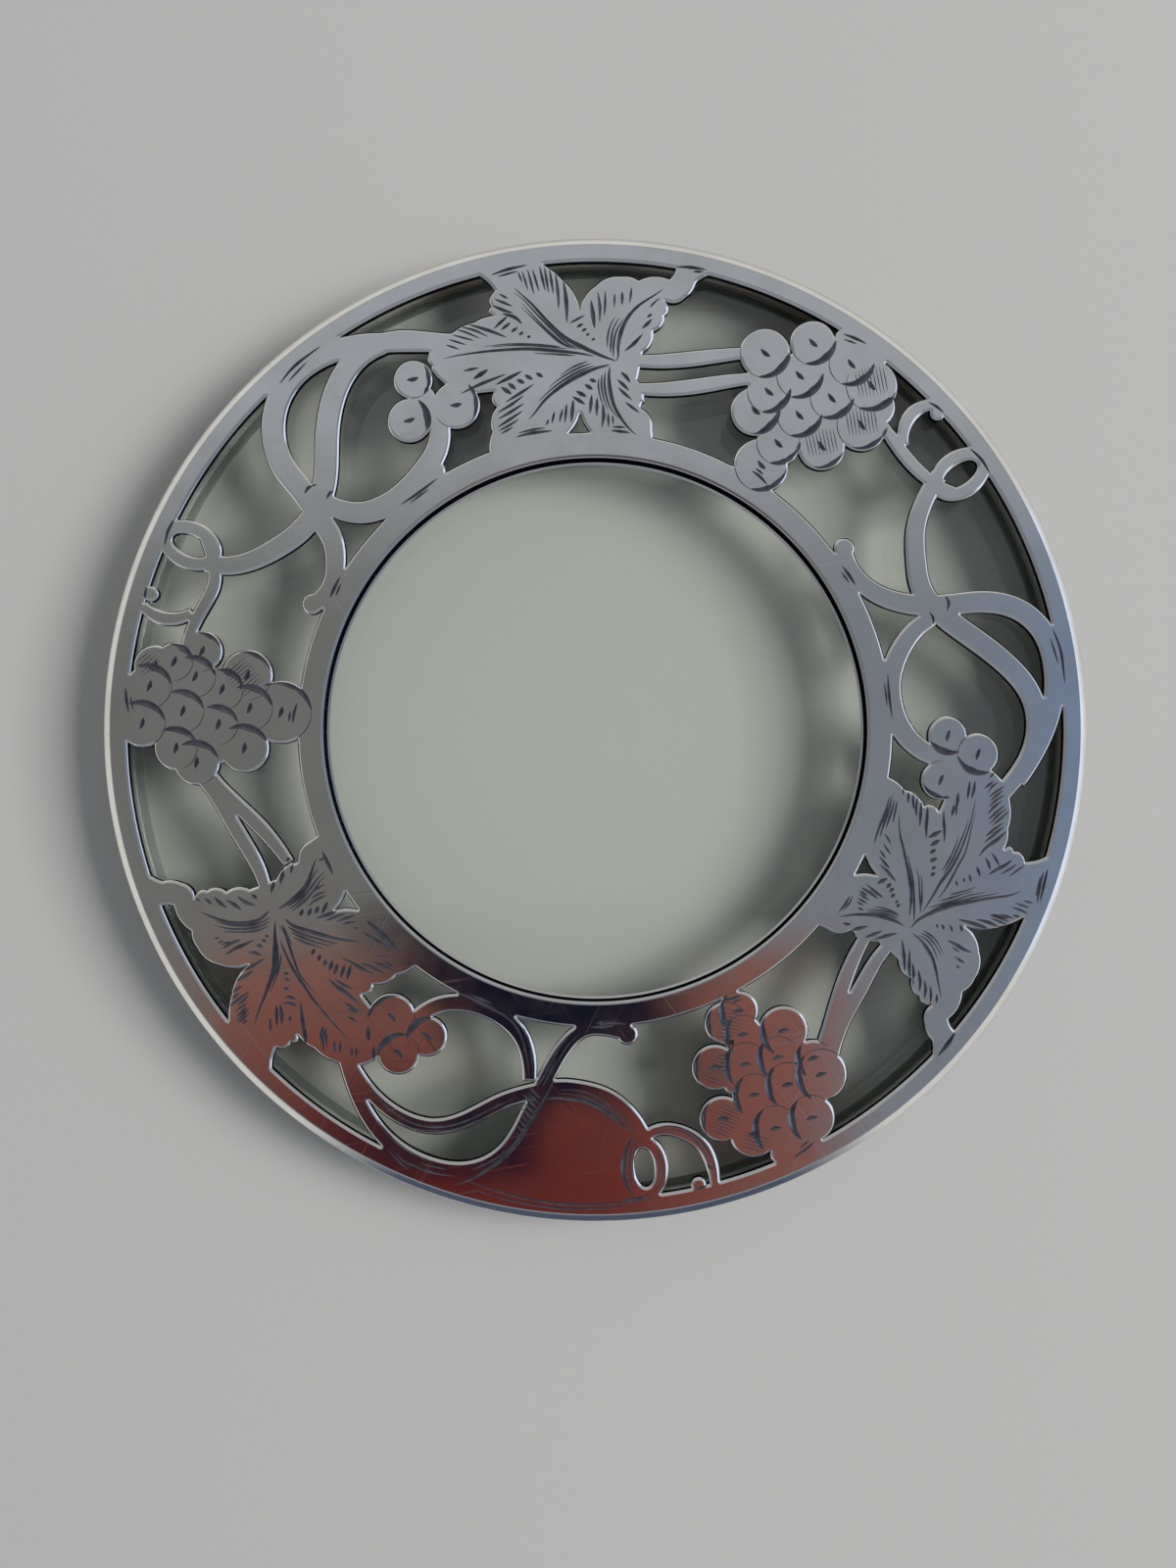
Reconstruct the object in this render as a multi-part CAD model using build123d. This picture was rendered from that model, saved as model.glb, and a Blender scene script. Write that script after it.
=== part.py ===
from build123d import *
from math import cos, radians, sin
import os

# A wine bottle coaster: a clear glass disc in a mount of polished silver. The mount is a
# flat ring of sheet, pierced with a running grapevine, soldered between a rolled outer band
# that grips the glass and a beaded collar round the seat of the bottle. The axis is Z, the
# table is at zero, and +Y is the top of the ring, from where angles run clockwise.

# Driving dimensions, in millimetres
outside_radius = 70.0       # over the outer band
band_wall = 2.2             # from the outside of the band to its bore
band_lift = 0.4             # lower edge of the band above the table
foot_radius = 0.5           # outer lower corner of the band
shoulder_radius = 1.3       # roll of the band's top edge
ledge_width = 1.9           # inward step of the band, under the rim of the plate
glass_thickness = 6.0
glass_bevel = 1.0           # round the underside, where the band is burnished in
glass_arris = 0.3           # round the top face
glass_clearance = 0.1       # glass to band, all round
stand_off = 1.6             # plate above the glass
sheet = 1.2                 # thickness of the pierced plate
solder_gap = 0.05           # plate to band, and plate to collar
seat_radius = 38.3          # bore that the bottle stands in
bead_radius = 0.8           # roll of the collar's top edge
flange_width = 2.0          # foot of the collar, under the plate
outer_border = 2.2          # plain edge of the plate, outside the vine
inner_border = 3.2          # plain edge of the plate, inside the vine
stem_width = 2.3
tendril_width = 3.5         # the widest of the long tendrils
curl_width = 2.0
curl_reach = 2.4            # middle of the curled tendril, along the ring
curl_height = 3.7           # middle of the curled tendril, across the ring
bulb_radius = 1.5           # end of a tendril on the inner border
knob_radius = 1.1           # end of a tendril on the outer border
web_radius = 1.7            # sheet left between two grapes
taper = 0.75                # width of a tendril's ends, as a share of its middle
least_opening = 2.5         # square millimetres; the saw leaves smaller ones solid

# Levels and radii that follow
plate_floor = glass_thickness + stand_off
plate_top = plate_floor + sheet
bore_radius = outside_radius - band_wall
glass_radius = bore_radius - glass_clearance
rim_radius = outside_radius - shoulder_radius
hole_radius = seat_radius + bead_radius
vine_outside = rim_radius - outer_border
vine_inside = hole_radius + inner_border
vine_width = vine_outside - vine_inside

# The vine, sawn by hand, so that its three repeats differ a little. Angles are degrees
# clockwise from the start of a repeat. Rises, radii and bows are in percent of the vine's
# width, and a rise is measured from the inner border outwards.
repeats = 3

# Outline of a leaf, clockwise: angle from its veins' meeting point, rise, and how far the
# edge to the next corner bows out
leaf_outline = [
    (13.0, 102, -2), (10.2, 94, 1), (9.2, 84, 2), (6.8, 80, 2), (7.0, 71.5, 2), (5.8, 61.5, 2),
    (4.7, 48.5, 0), (4.4, 32.5, 1), (6.0, 20, -1), (5.7, 16, 2), (8.2, 6, 0), (8.9, -2, 0),
    (-2.9, -2, 1), (-5.2, 11, 1), (-8.4, -2, 0), (-23.5, -2, 1), (-21.5, 11, 2), (-19.5, 23.5, 2),
    (-19.2, 32.5, 0), (-23.5, 36, 2), (-27, 57, 3), (-22.5, 73, 1), (-19, 75, 1), (-16.3, 75.5, 2),
    (-16.3, 81.5, 2), (-15.4, 89.5, -1), (-17.2, 102, 0), (-9.5, 102, 1), (-6.6, 90, 2),
    (-4.6, 71.5, 2), (-2.5, 86, 2), (0.8, 92, 1), (3, 90.5, 2), (6.8, 93.5, -1), (7.4, 102, 0),
]

# Where the veins of each repeat's leaf meet
leaf_angles = [2.5, 2.5, 0.5]

# Grapes of each repeat's large and small bunch: angle, rise, radius
bunches = [
    [
        (24.3, 67.5, 15), (29.4, 85.5, 13.5), (35, 87, 13.5), (38.8, 84, 15.5), (30, 65, 14),
        (35.5, 64, 13), (27.2, 48, 13), (26.7, 34.5, 14.5), (33, 45, 13.5), (38.6, 38, 14),
        (41.2, 62.5, 15), (40.8, 76, 12.5), (32.6, 24.5, 13), (32.1, 8.5, 16),
        (98.3, 30, 11.5), (91, 32, 11.5), (93.7, 50, 12.5),
    ],
    [
        (26.8, 67, 15.5), (28, 33.5, 14.5), (30.9, 86, 14), (35.7, 82, 14), (36.5, 59, 13),
        (31.6, 62, 13.5), (30.9, 45.5, 13), (35.9, 40.5, 13.5), (34.2, 24, 12), (41.9, 65.5, 13.5),
        (40.5, 35.5, 13.5), (38.6, 80, 14), (26.5, 56.5, 11), (36, 13.5, 12.5), (33.1, 10.5, 12),
        (95.3, 32, 14), (88.8, 30.5, 12), (91.3, 47.5, 12.5),
    ],
    [
        (30.8, 91, 14), (35.6, 88, 13.5), (27.5, 71.5, 13), (32.6, 67.5, 13), (39.2, 75.5, 11.5),
        (38.2, 86.5, 12.5), (37.6, 62, 12.5), (36.2, 45.5, 13), (30.8, 46.5, 12), (25.3, 60, 13.5),
        (27, 31.5, 14.5), (33.6, 28.5, 14), (41.3, 60.5, 12), (38.9, 32, 15), (33.2, 10, 18.5),
        (92.5, 57, 11.5), (89, 37, 13), (96.8, 32.5, 14),
    ],
]

# Webs of sheet left between the grapes, and between a bunch and the outer border
webs = [
    [(32.8, 98), (37, 99), (32.7, 76), (37.3, 52), (28, 56), (96, 41)],
    [(33.3, 98), (36.2, 97), (33, 74), (29.2, 51), (38.5, 48), (92.2, 39)],
    [(33.2, 99), (29, 60), (35.9, 73.5), (33.8, 55), (30.5, 36), (92.6, 45), (97.3, 62),
     (87.9, 4), (26.6, 47)],
]

# Two stems from each leaf to its bunch
stems = [
    [
        [(5.5, 43), (10, 45), (15, 51), (21.5, 63)],
        [(6.5, 27), (11, 29), (16, 35), (20, 42.5), (24, 51)],
    ],
    [
        [(5.5, 39.5), (10, 39), (14, 42.5), (18, 47), (22, 55.5), (25, 67)],
        [(7, 25), (12, 28.5), (16, 34.5), (20, 43), (24.5, 54)],
    ],
    [
        [(3.5, 41), (10, 40), (14, 43.5), (18, 48), (23, 58.5)],
        [(6.5, 21.5), (10, 24.5), (14, 30.5), (18, 39.5), (23, 51.5)],
    ],
]

# Short tendrils between each bunch, the outer border and the curl
shoots = [
    [
        [(41.5, 73), (46, 69), (50, 68), (54, 71.5), (56.5, 78.5)],
        [(47.5, 71.5), (45.4, 81.5), (45.1, 91), (46.3, 101)],
    ],
    [
        [(45.3, 102), (45, 89.5), (45.6, 77), (47.5, 68), (50.5, 63), (53.5, 67.5)],
    ],
    [
        [(41, 70), (44.5, 69), (48, 66), (51, 65), (54, 71.5), (56.3, 81.5)],
        [(46.3, 71.5), (44.9, 79.5), (44.5, 89.5), (45.5, 101)],
    ],
]
curls = [(55, 87), (53.6, 84), (54.5, 86.5)]
knobs = [(47.2, 99), (47.2, 99), (47, 98)]

# Long tendrils: from the curl to the next leaf, from the bulb on the inner border over the
# arch to the next leaf, and from the crossing along the inner border to the small bunch
tendrils = [
    [
        [(53.5, 76.5), (55.1, 61.5), (58.1, 47), (62.1, 38.5), (67, 34), (71.5, 39.5), (77, 56),
         (81, 70), (85, 81), (89, 84.5), (93.5, 80.5), (98, 69.5), (101, 62)],
        [(54, 6), (58.5, 2.5), (63, 6.5), (66.5, 16), (69.2, 31), (70.6, 47), (71.8, 66), (74, 83),
         (77.5, 94), (82, 97), (87, 94), (92, 86), (97, 75)],
        [(71.5, 33.5), (73, 20), (75.7, 9.5), (80, 1.5), (85, 0), (90, 5.5), (93.7, 18.5),
         (94.5, 38)],
    ],
    [
        [(53, 66), (54.8, 51.5), (58, 40.5), (62, 36), (66, 36), (70, 41), (74.1, 50), (78.1, 65),
         (82.1, 76.5), (86.1, 79.5), (91.1, 76.5), (96.1, 68), (98.7, 62)],
        [(54, 5), (58, 1), (62, 1.5), (65.3, 11), (67.4, 25.5), (69, 44), (70.2, 61), (71.5, 75),
         (73.7, 87.5), (77, 96), (81, 99), (85.5, 97), (90, 89.5), (94, 78.5), (97, 69)],
        [(70.6, 35), (71.7, 20.5), (73.8, 10), (77, 3.5), (81, 1), (86, 3.5), (90, 12.5), (91.5, 21.5),
         (92, 38)],
    ],
    [
        [(53.3, 73.5), (54.1, 61.5), (56.3, 50), (59.8, 40.5), (64.4, 34), (69.4, 35), (73.4, 43),
         (77.4, 58), (81.4, 72.5), (85.4, 82), (89.4, 85), (93.4, 81), (97.4, 72), (101.4, 66)],
        [(54, 7), (58.9, 2), (62.9, 7), (65.9, 16), (67.7, 31), (69.2, 47.5), (70.1, 64), (72.6, 82),
         (75.8, 93), (80.3, 98.5), (84.8, 96), (89, 89.5), (93, 80.5), (97, 72)],
        [(70, 37), (71.2, 20.5), (73.5, 11), (77, 5.5), (81.5, 4), (86.5, 7.5), (90.2, 13.5),
         (92.5, 23), (92.9, 41.5)],
    ],
]

# Widths of the long tendrils, as shares of the widest
tendril_shares = [[0.94, 0.92, 0.92], [0.68, 0.76, 0.76], [1, 1, 1]]

# Plain shield that fills the space over the long tendril of the second repeat
shield_repeat = 1
shield_outline = [
    (55, 61), (56, 104), (65.5, 104), (75, 104), (70.5, 66), (68.5, 46), (60, 39), (56, 50),
]


def spot(angle, rise):
    """A point of the vine, from its angle round the ring and its rise across the vine."""
    radius = vine_inside + vine_width * rise / 100
    return Vector(radius * sin(radians(angle)), radius * cos(radians(angle)))


def turned(*edges):
    """A piece turned about the axis from a profile of radius and height."""
    return revolve(Plane.XZ * make_face(edges), Axis.Z)


def ring(outside, inside):
    return Circle(outside) - Circle(inside)


def ribbon(route, start, width):
    """A strip of the sheet along a route, widest halfway."""
    line = Spline(*[spot(start + angle, rise) for angle, rise in route])
    steps = 2 * len(route)
    left = []
    right = []
    for step in range(steps + 1):
        along = step / steps
        half = width / 2 * (taper + (1 - taper) * sin(radians(180 * along)))
        across = (line % along).rotate(Axis.Z, 90) * half
        left.append(line @ along + across)
        right.append(line @ along - across)
    sides = [Spline(*left), Spline(*right)]
    ends = [Line(left[0], right[0]), Line(left[-1], right[-1])]
    return make_face(sides + ends)


def leaf(middle):
    """A vine leaf with its scalloped edge, joined to both borders."""
    corners = [spot(middle + angle, rise) for angle, rise, bow in leaf_outline]
    edges = []
    for corner, after, (angle, rise, bow) in zip(corners, corners[1:] + corners[:1], leaf_outline):
        if bow:
            edges.append(SagittaArc(corner, after, vine_width * bow / 100))
        else:
            edges.append(Line(corner, after))
    return make_face(edges)


def disc(angle, rise, radius):
    return Location(spot(angle, rise)) * Circle(radius)


def curl(angle, rise):
    """A tendril that turns once round and closes on itself."""
    half = curl_width / 2
    outside = Ellipse(curl_reach + half, curl_height + half)
    inside = Ellipse(curl_reach - half, curl_height - half)
    return Location(spot(angle, rise), (0, 0, -angle)) * (outside - inside)


def vine_repeat(number):
    """The shapes of one repeat, clockwise from its leaf to its small bunch."""
    start = 360 / repeats * number
    shapes = [leaf(start + leaf_angles[number])]
    for angle, rise, radius in bunches[number]:
        shapes.append(disc(start + angle, rise, vine_width * radius / 100))
    for angle, rise in webs[number]:
        shapes.append(disc(start + angle, rise, web_radius))
    for route in stems[number]:
        shapes.append(ribbon(route, start, stem_width))
    for route in shoots[number]:
        shapes.append(ribbon(route, start, curl_width))
    for route, share in zip(tendrils[number], tendril_shares[number]):
        shapes.append(ribbon(route, start, tendril_width * share))
    curl_angle, curl_rise = curls[number]
    shapes.append(curl(start + curl_angle, curl_rise))
    knob_angle, knob_rise = knobs[number]
    shapes.append(disc(start + knob_angle, knob_rise, knob_radius))
    bulb_angle, bulb_rise = tendrils[number][1][0]
    shapes.append(disc(start + bulb_angle, bulb_rise, bulb_radius))
    if number == shield_repeat:
        shapes.append(make_face(Polyline(*[spot(start + a, r) for a, r in shield_outline], close=True)))
    return shapes


def glass_disc():
    """Plain disc, bevelled under its edge and stoned along its top."""
    return turned(
        Polyline(
            (0, 0),
            (glass_radius - glass_bevel, 0),
            (glass_radius, glass_bevel),
            (glass_radius, glass_thickness - glass_arris),
            (glass_radius - glass_arris, glass_thickness),
            (0, glass_thickness),
            close=True,
        )
    )


def outer_band():
    """Wall round the glass: rolled shoulder, ledge on the glass, edge burnished under the bevel."""
    shoulder = CenterArc((rim_radius, plate_top - shoulder_radius), shoulder_radius, 0, 90)
    foot = CenterArc((outside_radius - foot_radius, band_lift + foot_radius), foot_radius, -90, 90)
    inside = Polyline(
        shoulder @ 1,
        (rim_radius, plate_floor),
        (rim_radius - ledge_width, plate_floor),
        (rim_radius - ledge_width, glass_thickness),
        (bore_radius, glass_thickness),
        (bore_radius, glass_bevel),
        (bore_radius - glass_bevel + band_lift, band_lift),
        foot @ 0,
    )
    return turned(shoulder, inside, foot, Line(foot @ 1, shoulder @ 0))


def inner_collar():
    """Ring round the bottle's seat: rolled top edge, and a foot flange that carries the plate."""
    bead = CenterArc((hole_radius, plate_top - bead_radius), bead_radius, 90, 90)
    body = Polyline(
        bead @ 1,
        (seat_radius, glass_thickness),
        (hole_radius + flange_width, glass_thickness),
        (hole_radius + flange_width, plate_floor),
        (hole_radius, plate_floor),
        bead @ 0,
    )
    return turned(bead, body)


def pierced_plate():
    """Sheet between the band and the collar, sawn through round the vine."""
    outer_edge = ring(rim_radius - solder_gap, vine_outside)
    inner_edge = ring(vine_inside, hole_radius + solder_gap)
    shapes = [inner_edge]
    for number in range(repeats):
        shapes += vine_repeat(number)
    sawn = (outer_edge + shapes).face()
    openings = [wire for wire in sawn.inner_wires() if Face(wire).area > least_opening]
    outline = Face(sawn.outer_wire(), openings)
    return extrude(Plane.XY.offset(plate_floor) * outline, sheet)


pieces = {
    "glass_disc": glass_disc(),
    "outer_band": outer_band(),
    "inner_collar": inner_collar(),
    "pierced_plate": pierced_plate(),
}

os.makedirs("parts", exist_ok=True)
for name, piece in pieces.items():
    export_step(piece, f"parts/{name}.step")
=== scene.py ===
import math

import bmesh
import bpy
import numpy as np
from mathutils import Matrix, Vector
from mathutils.geometry import delaunay_2d_cdt


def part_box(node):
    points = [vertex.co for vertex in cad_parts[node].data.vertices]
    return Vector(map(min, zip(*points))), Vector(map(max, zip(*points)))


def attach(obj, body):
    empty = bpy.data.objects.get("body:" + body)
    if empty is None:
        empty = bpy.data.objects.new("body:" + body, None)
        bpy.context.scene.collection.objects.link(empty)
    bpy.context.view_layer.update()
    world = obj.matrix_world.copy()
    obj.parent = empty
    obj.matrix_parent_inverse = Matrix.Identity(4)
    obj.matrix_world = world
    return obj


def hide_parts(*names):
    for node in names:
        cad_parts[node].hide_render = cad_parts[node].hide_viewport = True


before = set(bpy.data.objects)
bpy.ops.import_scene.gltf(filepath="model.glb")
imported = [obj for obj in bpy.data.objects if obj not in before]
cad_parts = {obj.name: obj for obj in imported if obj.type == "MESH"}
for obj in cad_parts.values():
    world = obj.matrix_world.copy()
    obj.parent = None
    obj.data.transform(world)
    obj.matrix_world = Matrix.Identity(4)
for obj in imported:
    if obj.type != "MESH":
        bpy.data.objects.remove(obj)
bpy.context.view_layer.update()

mm = 0.001

# Glass disc
# A plain disc of clear soda-lime glass that fills the mount and carries the bottle. It is cut
# round, bevelled under its edge and stoned along its top, and the band is burnished round it.

_, glass_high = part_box("glass_disc")
glass_radius = glass_high.y / mm
glass_top = glass_high.z / mm
glass_bevel = 1.0
glass_arris = 0.3
glass_ior = 1.52
crease = math.radians(30)


def linear(code):
    """A colour for a shader, from its sRGB hex value."""
    shares = [int(code[i:i + 2], 16) / 255 for i in (1, 3, 5)]
    return [s / 12.92 if s <= 0.04045 else ((s + 0.055) / 1.055) ** 2.4 for s in shares] + [1.0]


def add(tree, kind, sockets=None, **settings):
    """A node with its settings; a socket's value is a number, a colour or a node's output."""
    made = tree.nodes.new(kind)
    for name, value in settings.items():
        setattr(made, name, value)
    for name, value in (sockets or {}).items():
        if isinstance(value, bpy.types.NodeSocket):
            tree.links.new(value, made.inputs[name])
        else:
            made.inputs[name].default_value = value
    return made


def material(name):
    """An empty material, and its node tree."""
    made = bpy.data.materials.new(name)
    made.use_nodes = True
    made.node_tree.nodes.clear()
    return made, made.node_tree


def let_light_through(tree, glass, tint):
    """Ends a glass material: lamplight and light from the table pass straight through, tinted."""
    rays = add(tree, "ShaderNodeLightPath").outputs
    straight = add(tree, "ShaderNodeMath", {0: rays["Is Shadow Ray"], 1: rays["Is Diffuse Ray"]},
                   operation="MAXIMUM")
    lamplight = add(tree, "ShaderNodeBsdfTransparent", {"Color": linear(tint)})
    mixed = add(tree, "ShaderNodeMixShader", {
        0: straight.outputs[0],
        1: glass.outputs[0],
        2: lamplight.outputs[0],
    })
    add(tree, "ShaderNodeOutputMaterial", {"Surface": mixed.outputs[0]})


def piece(name, mesh, node, slot, *materials):
    """A finished piece that stands for a node of the frame and moves with it."""
    for each in materials:
        mesh.materials.append(each)
    made = bpy.data.objects.new(name, mesh)
    bpy.context.scene.collection.objects.link(made)
    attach(made, "root")
    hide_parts(node)


def turned(name, profile, steps=512):
    """A mesh turned about the axis from points of radius and height, counter-clockwise."""
    spots = []
    faces = []
    rows = []
    for radius, height in profile:
        if radius == 0:
            rows.append([len(spots)] * steps)
            spots.append((0, 0, height * mm))
            continue
        rows.append(range(len(spots), len(spots) + steps))
        for step in range(steps):
            turn = 2 * math.pi * step / steps
            spots.append((radius * math.cos(turn) * mm, radius * math.sin(turn) * mm, height * mm))
    for row, above in zip(rows, rows[1:] + rows[:1]):
        for step in range(steps):
            after = (step + 1) % steps
            corners = dict.fromkeys((row[step], row[after], above[after], above[step]))
            if len(corners) > 2:
                faces.append(list(corners))
    mesh = bpy.data.meshes.new(name)
    mesh.from_pydata(spots, [], faces)
    mesh.shade_smooth()
    mesh.set_sharp_from_angle(angle=crease)
    return mesh


# Soda-lime glass, polished: clear, with the faint green that iron gives it. The light that falls
# on the table under it comes straight through, a little dimmed.
clear_glass, tree = material("soda_lime_glass_polished")
body = add(tree, "ShaderNodeBsdfPrincipled", {
    "Base Color": linear("#f9fcf6"),
    "Roughness": 0.0,
    "IOR": glass_ior,
    "Transmission Weight": 1.0,
})
let_light_through(tree, body, "#f8faf7")

# Soda-lime glass, ground with fine grit: the edge is matt, so it scatters light and shows a
# deeper green.
ground_glass, tree = material("soda_lime_glass_ground_edge")
place = add(tree, "ShaderNodeTexCoord").outputs["Object"]
grit_mm = 0.3
grit_depth = 0.05
grit = add(tree, "ShaderNodeTexNoise", {
    "Vector": place,
    "Scale": 1 / (grit_mm * mm),
    "Detail": 2.0,
})
chips = add(tree, "ShaderNodeBump", {
    "Height": grit.outputs[0],
    "Strength": 0.6,
    "Distance": grit_depth * mm,
})
body = add(tree, "ShaderNodeBsdfPrincipled", {
    "Base Color": linear("#4c5448"),
    "Roughness": 0.6,
    "IOR": glass_ior,
    "Transmission Weight": 0.5,
    "Normal": chips.outputs[0],
})
let_light_through(tree, body, "#b4bfb2")

disc = turned("glass_disc_clear", [
    (0, 0),
    (glass_radius - glass_bevel, 0),
    (glass_radius, glass_bevel),
    (glass_radius, glass_top - glass_arris),
    (glass_radius - glass_arris, glass_top),
    (0, glass_top),
])
for face in disc.polygons:
    face.material_index = 1 if face.center.xy.length > (glass_radius - glass_bevel) * mm else 0
piece("glass_disc_clear", disc, "glass_disc", "clear_glass", clear_glass, ground_glass)

# Outer band
# The silver wall round the glass, bent from strip and soldered. Its top edge is filed to a sloped
# shoulder and polished, a ledge inside rests on the glass, and its foot is burnished inwards.

band_low, band_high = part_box("outer_band")
outside_radius = band_high.y / mm
band_foot = band_low.z / mm
plate_top = band_high.z / mm
shoulder_width = 1.3
shoulder_slope = 31
shoulder_arris = 0.4
brow_radius = 0.3
foot_radius = 0.5
band_wall = 2.2
ledge_width = 1.9
plate_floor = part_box("pierced_plate")[0].z / mm
rim_radius = outside_radius - shoulder_width
bore_radius = outside_radius - band_wall


def roll(middle, radius, first, last, steps):
    """Points of a rounded edge in a turned profile, from one direction to another in degrees."""
    turns = [math.radians(first + (last - first) * step / steps) for step in range(steps + 1)]
    return [(middle[0] + radius * math.cos(t), middle[1] + radius * math.sin(t)) for t in turns]


# Sterling silver, hand-polished: bright and neutral, with a faint warm bloom, the long slow
# waves that planishing leaves, and a few hairline scratches from use. The scratches are drawn
# about three times as coarse as they are, so that they show.
polished, tree = material("sterling_silver_hand_polished")
place = add(tree, "ShaderNodeTexCoord").outputs["Object"]
wave_mm = 15.0
wave_depth = 0.05
bloom_mm = 9.0
scratch_mm = 0.45
scratch_length_mm = 16.0
scratch_depth = 0.006
scratch_ways = (25, -38, 80)
scratch_haze = 0.06
waves = add(tree, "ShaderNodeTexNoise", {
    "Vector": place,
    "Scale": 1 / (wave_mm * mm),
    "Detail": 1.5,
})
bloom = add(tree, "ShaderNodeTexNoise", {
    "Vector": place,
    "Scale": 1 / (bloom_mm * mm),
    "Detail": 5.0,
    "Roughness": 0.6,
})
scratches = []
for turn in scratch_ways:
    swung = add(tree, "ShaderNodeVectorRotate", {"Vector": place, "Angle": math.radians(turn)},
                rotation_type="Z_AXIS")
    drawn_out = add(tree, "ShaderNodeMapping", {
        "Vector": swung.outputs[0],
        "Scale": (1 / (scratch_mm * mm), 1 / (scratch_length_mm * mm), 1 / (scratch_mm * mm)),
    })
    lines = add(tree, "ShaderNodeTexNoise", {
        "Vector": drawn_out.outputs[0],
        "Scale": 1.0,
        "Detail": 1.0,
    })
    scratches.append(add(tree, "ShaderNodeMapRange", {
        "Value": lines.outputs[0],
        "From Min": 0.67,
        "From Max": 0.77,
    }).outputs[0])
some = add(tree, "ShaderNodeMath", {0: scratches[0], 1: scratches[1]}, operation="MAXIMUM")
scratched = add(tree, "ShaderNodeMath", {0: some.outputs[0], 1: scratches[2]}, operation="MAXIMUM")
tone = add(tree, "ShaderNodeMix", {
    0: bloom.outputs[0],
    6: linear("#f7f6f5"),
    7: linear("#d6d2cc"),
}, data_type="RGBA")
clean = add(tree, "ShaderNodeMapRange", {
    "Value": bloom.outputs[0],
    "From Min": 0.3,
    "From Max": 0.75,
    "To Min": 0.05,
    "To Max": 0.15,
})
polish = add(tree, "ShaderNodeMath", {
    0: scratched.outputs[0],
    1: scratch_haze,
    2: clean.outputs[0],
}, operation="MULTIPLY_ADD")
broad = add(tree, "ShaderNodeBump", {
    "Height": waves.outputs[0],
    "Strength": 1.0,
    "Distance": wave_depth * mm,
})
fine = add(tree, "ShaderNodeBump", {
    "Height": scratched.outputs[0],
    "Strength": 0.3,
    "Distance": scratch_depth * mm,
    "Normal": broad.outputs[0],
}, invert=True)
silver = add(tree, "ShaderNodeBsdfPrincipled", {
    "Base Color": tone.outputs[2],
    "Metallic": 1.0,
    "Roughness": polish.outputs[0],
    "Normal": fine.outputs[0],
})
add(tree, "ShaderNodeOutputMaterial", {"Surface": silver.outputs[0]})

slope = math.radians(shoulder_slope)
crest = roll((rim_radius, plate_top - shoulder_arris), shoulder_arris,
             90 - shoulder_slope, 90, steps=6)
brow = outside_radius - brow_radius
fall = (brow + brow_radius * math.sin(slope) - crest[0][0]) * math.tan(slope)
brow_height = crest[0][1] - fall - brow_radius * math.cos(slope)
band = turned("outer_band_rolled", [
    *roll((outside_radius - foot_radius, band_foot + foot_radius), foot_radius, -90, 0, steps=6),
    *roll((brow, brow_height), brow_radius, 0, 90 - shoulder_slope, steps=5),
    *crest,
    (rim_radius, plate_floor),
    (rim_radius - ledge_width, plate_floor),
    (rim_radius - ledge_width, glass_top),
    (bore_radius, glass_top),
    (bore_radius, glass_bevel),
    (bore_radius - glass_bevel + band_foot, band_foot),
])
piece("outer_band_rolled", band, "outer_band", "polished_silver", polished)

# Inner collar
# The silver ring round the seat of the bottle, bent from strip. Its top edge is rounded over to
# meet the plate, a flange outside its foot rests on the glass and carries the plate, and its foot
# is burnished out on to the glass as a narrow bright lip.

bead_radius = 0.8
flange_width = 2.0
lip_width = 0.3
lip_height = 0.17
crown_turn = 38
seat_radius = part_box("inner_collar")[1].y / mm - bead_radius - flange_width
hole_radius = seat_radius + bead_radius

# Sterling silver, filed and left: walls that the polishing cloth doesn't reach keep the file's
# upright strokes and a dark grey tarnish. The colour and specular tint are darkened further than
# that tarnish, as painted shade for the shade that falls on these recessed walls. The strokes are
# drawn twice as coarse as they are.
filed_painted_shade, tree = material("sterling_silver_filed_tarnish_and_painted_shade")
place = add(tree, "ShaderNodeTexCoord").outputs["Object"]
stroke_mm = 0.4
stroke_depth = 0.03
stroke_stretch = 0.1
upright = add(tree, "ShaderNodeMapping", {"Vector": place, "Scale": (1, 1, stroke_stretch)})
strokes = add(tree, "ShaderNodeTexNoise", {
    "Vector": upright.outputs[0],
    "Scale": 1 / (stroke_mm * mm),
    "Detail": 2.0,
})
tone = add(tree, "ShaderNodeMix", {
    0: strokes.outputs[0],
    6: linear("#4a484f"),
    7: linear("#1b1a20"),
}, data_type="RGBA")
marks = add(tree, "ShaderNodeBump", {
    "Height": strokes.outputs[0],
    "Strength": 0.5,
    "Distance": stroke_depth * mm,
})
wall = add(tree, "ShaderNodeBsdfPrincipled", {
    "Base Color": tone.outputs[2],
    "Metallic": 1.0,
    "Roughness": 0.4,
    "Specular Tint": linear("#2c2b32"),
    "Normal": marks.outputs[0],
})
add(tree, "ShaderNodeOutputMaterial", {"Surface": wall.outputs[0]})

crown = roll((hole_radius, plate_top - bead_radius), bead_radius, 90, 90 + crown_turn, steps=8)
collar = turned("inner_collar_rolled", [
    (hole_radius + flange_width, glass_top),
    (hole_radius + flange_width, plate_floor),
    (hole_radius, plate_floor),
    *crown,
    (seat_radius + lip_width, glass_top + lip_height),
    (seat_radius, glass_top),
])
# The collar's inner wall, below the crown, takes the filed silver: its dark colour is partly
# tarnish and partly painted shade for the shadow inside the seat.
for face in collar.polygons:
    tarnished_painted_shade = (glass_top + lip_height) * mm < face.center.z < crown[-1][1] * mm
    face.material_index = 1 if tarnished_painted_shade else 0
piece("inner_collar_rolled", collar, "inner_collar", "polished_silver", polished, filed_painted_shade)

# Pierced plate
# One sheet of silver, sawn through round a running grapevine, its sawn edges softened with a
# burnisher, then engraved. It is soldered flush to the band and to the collar.

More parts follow.
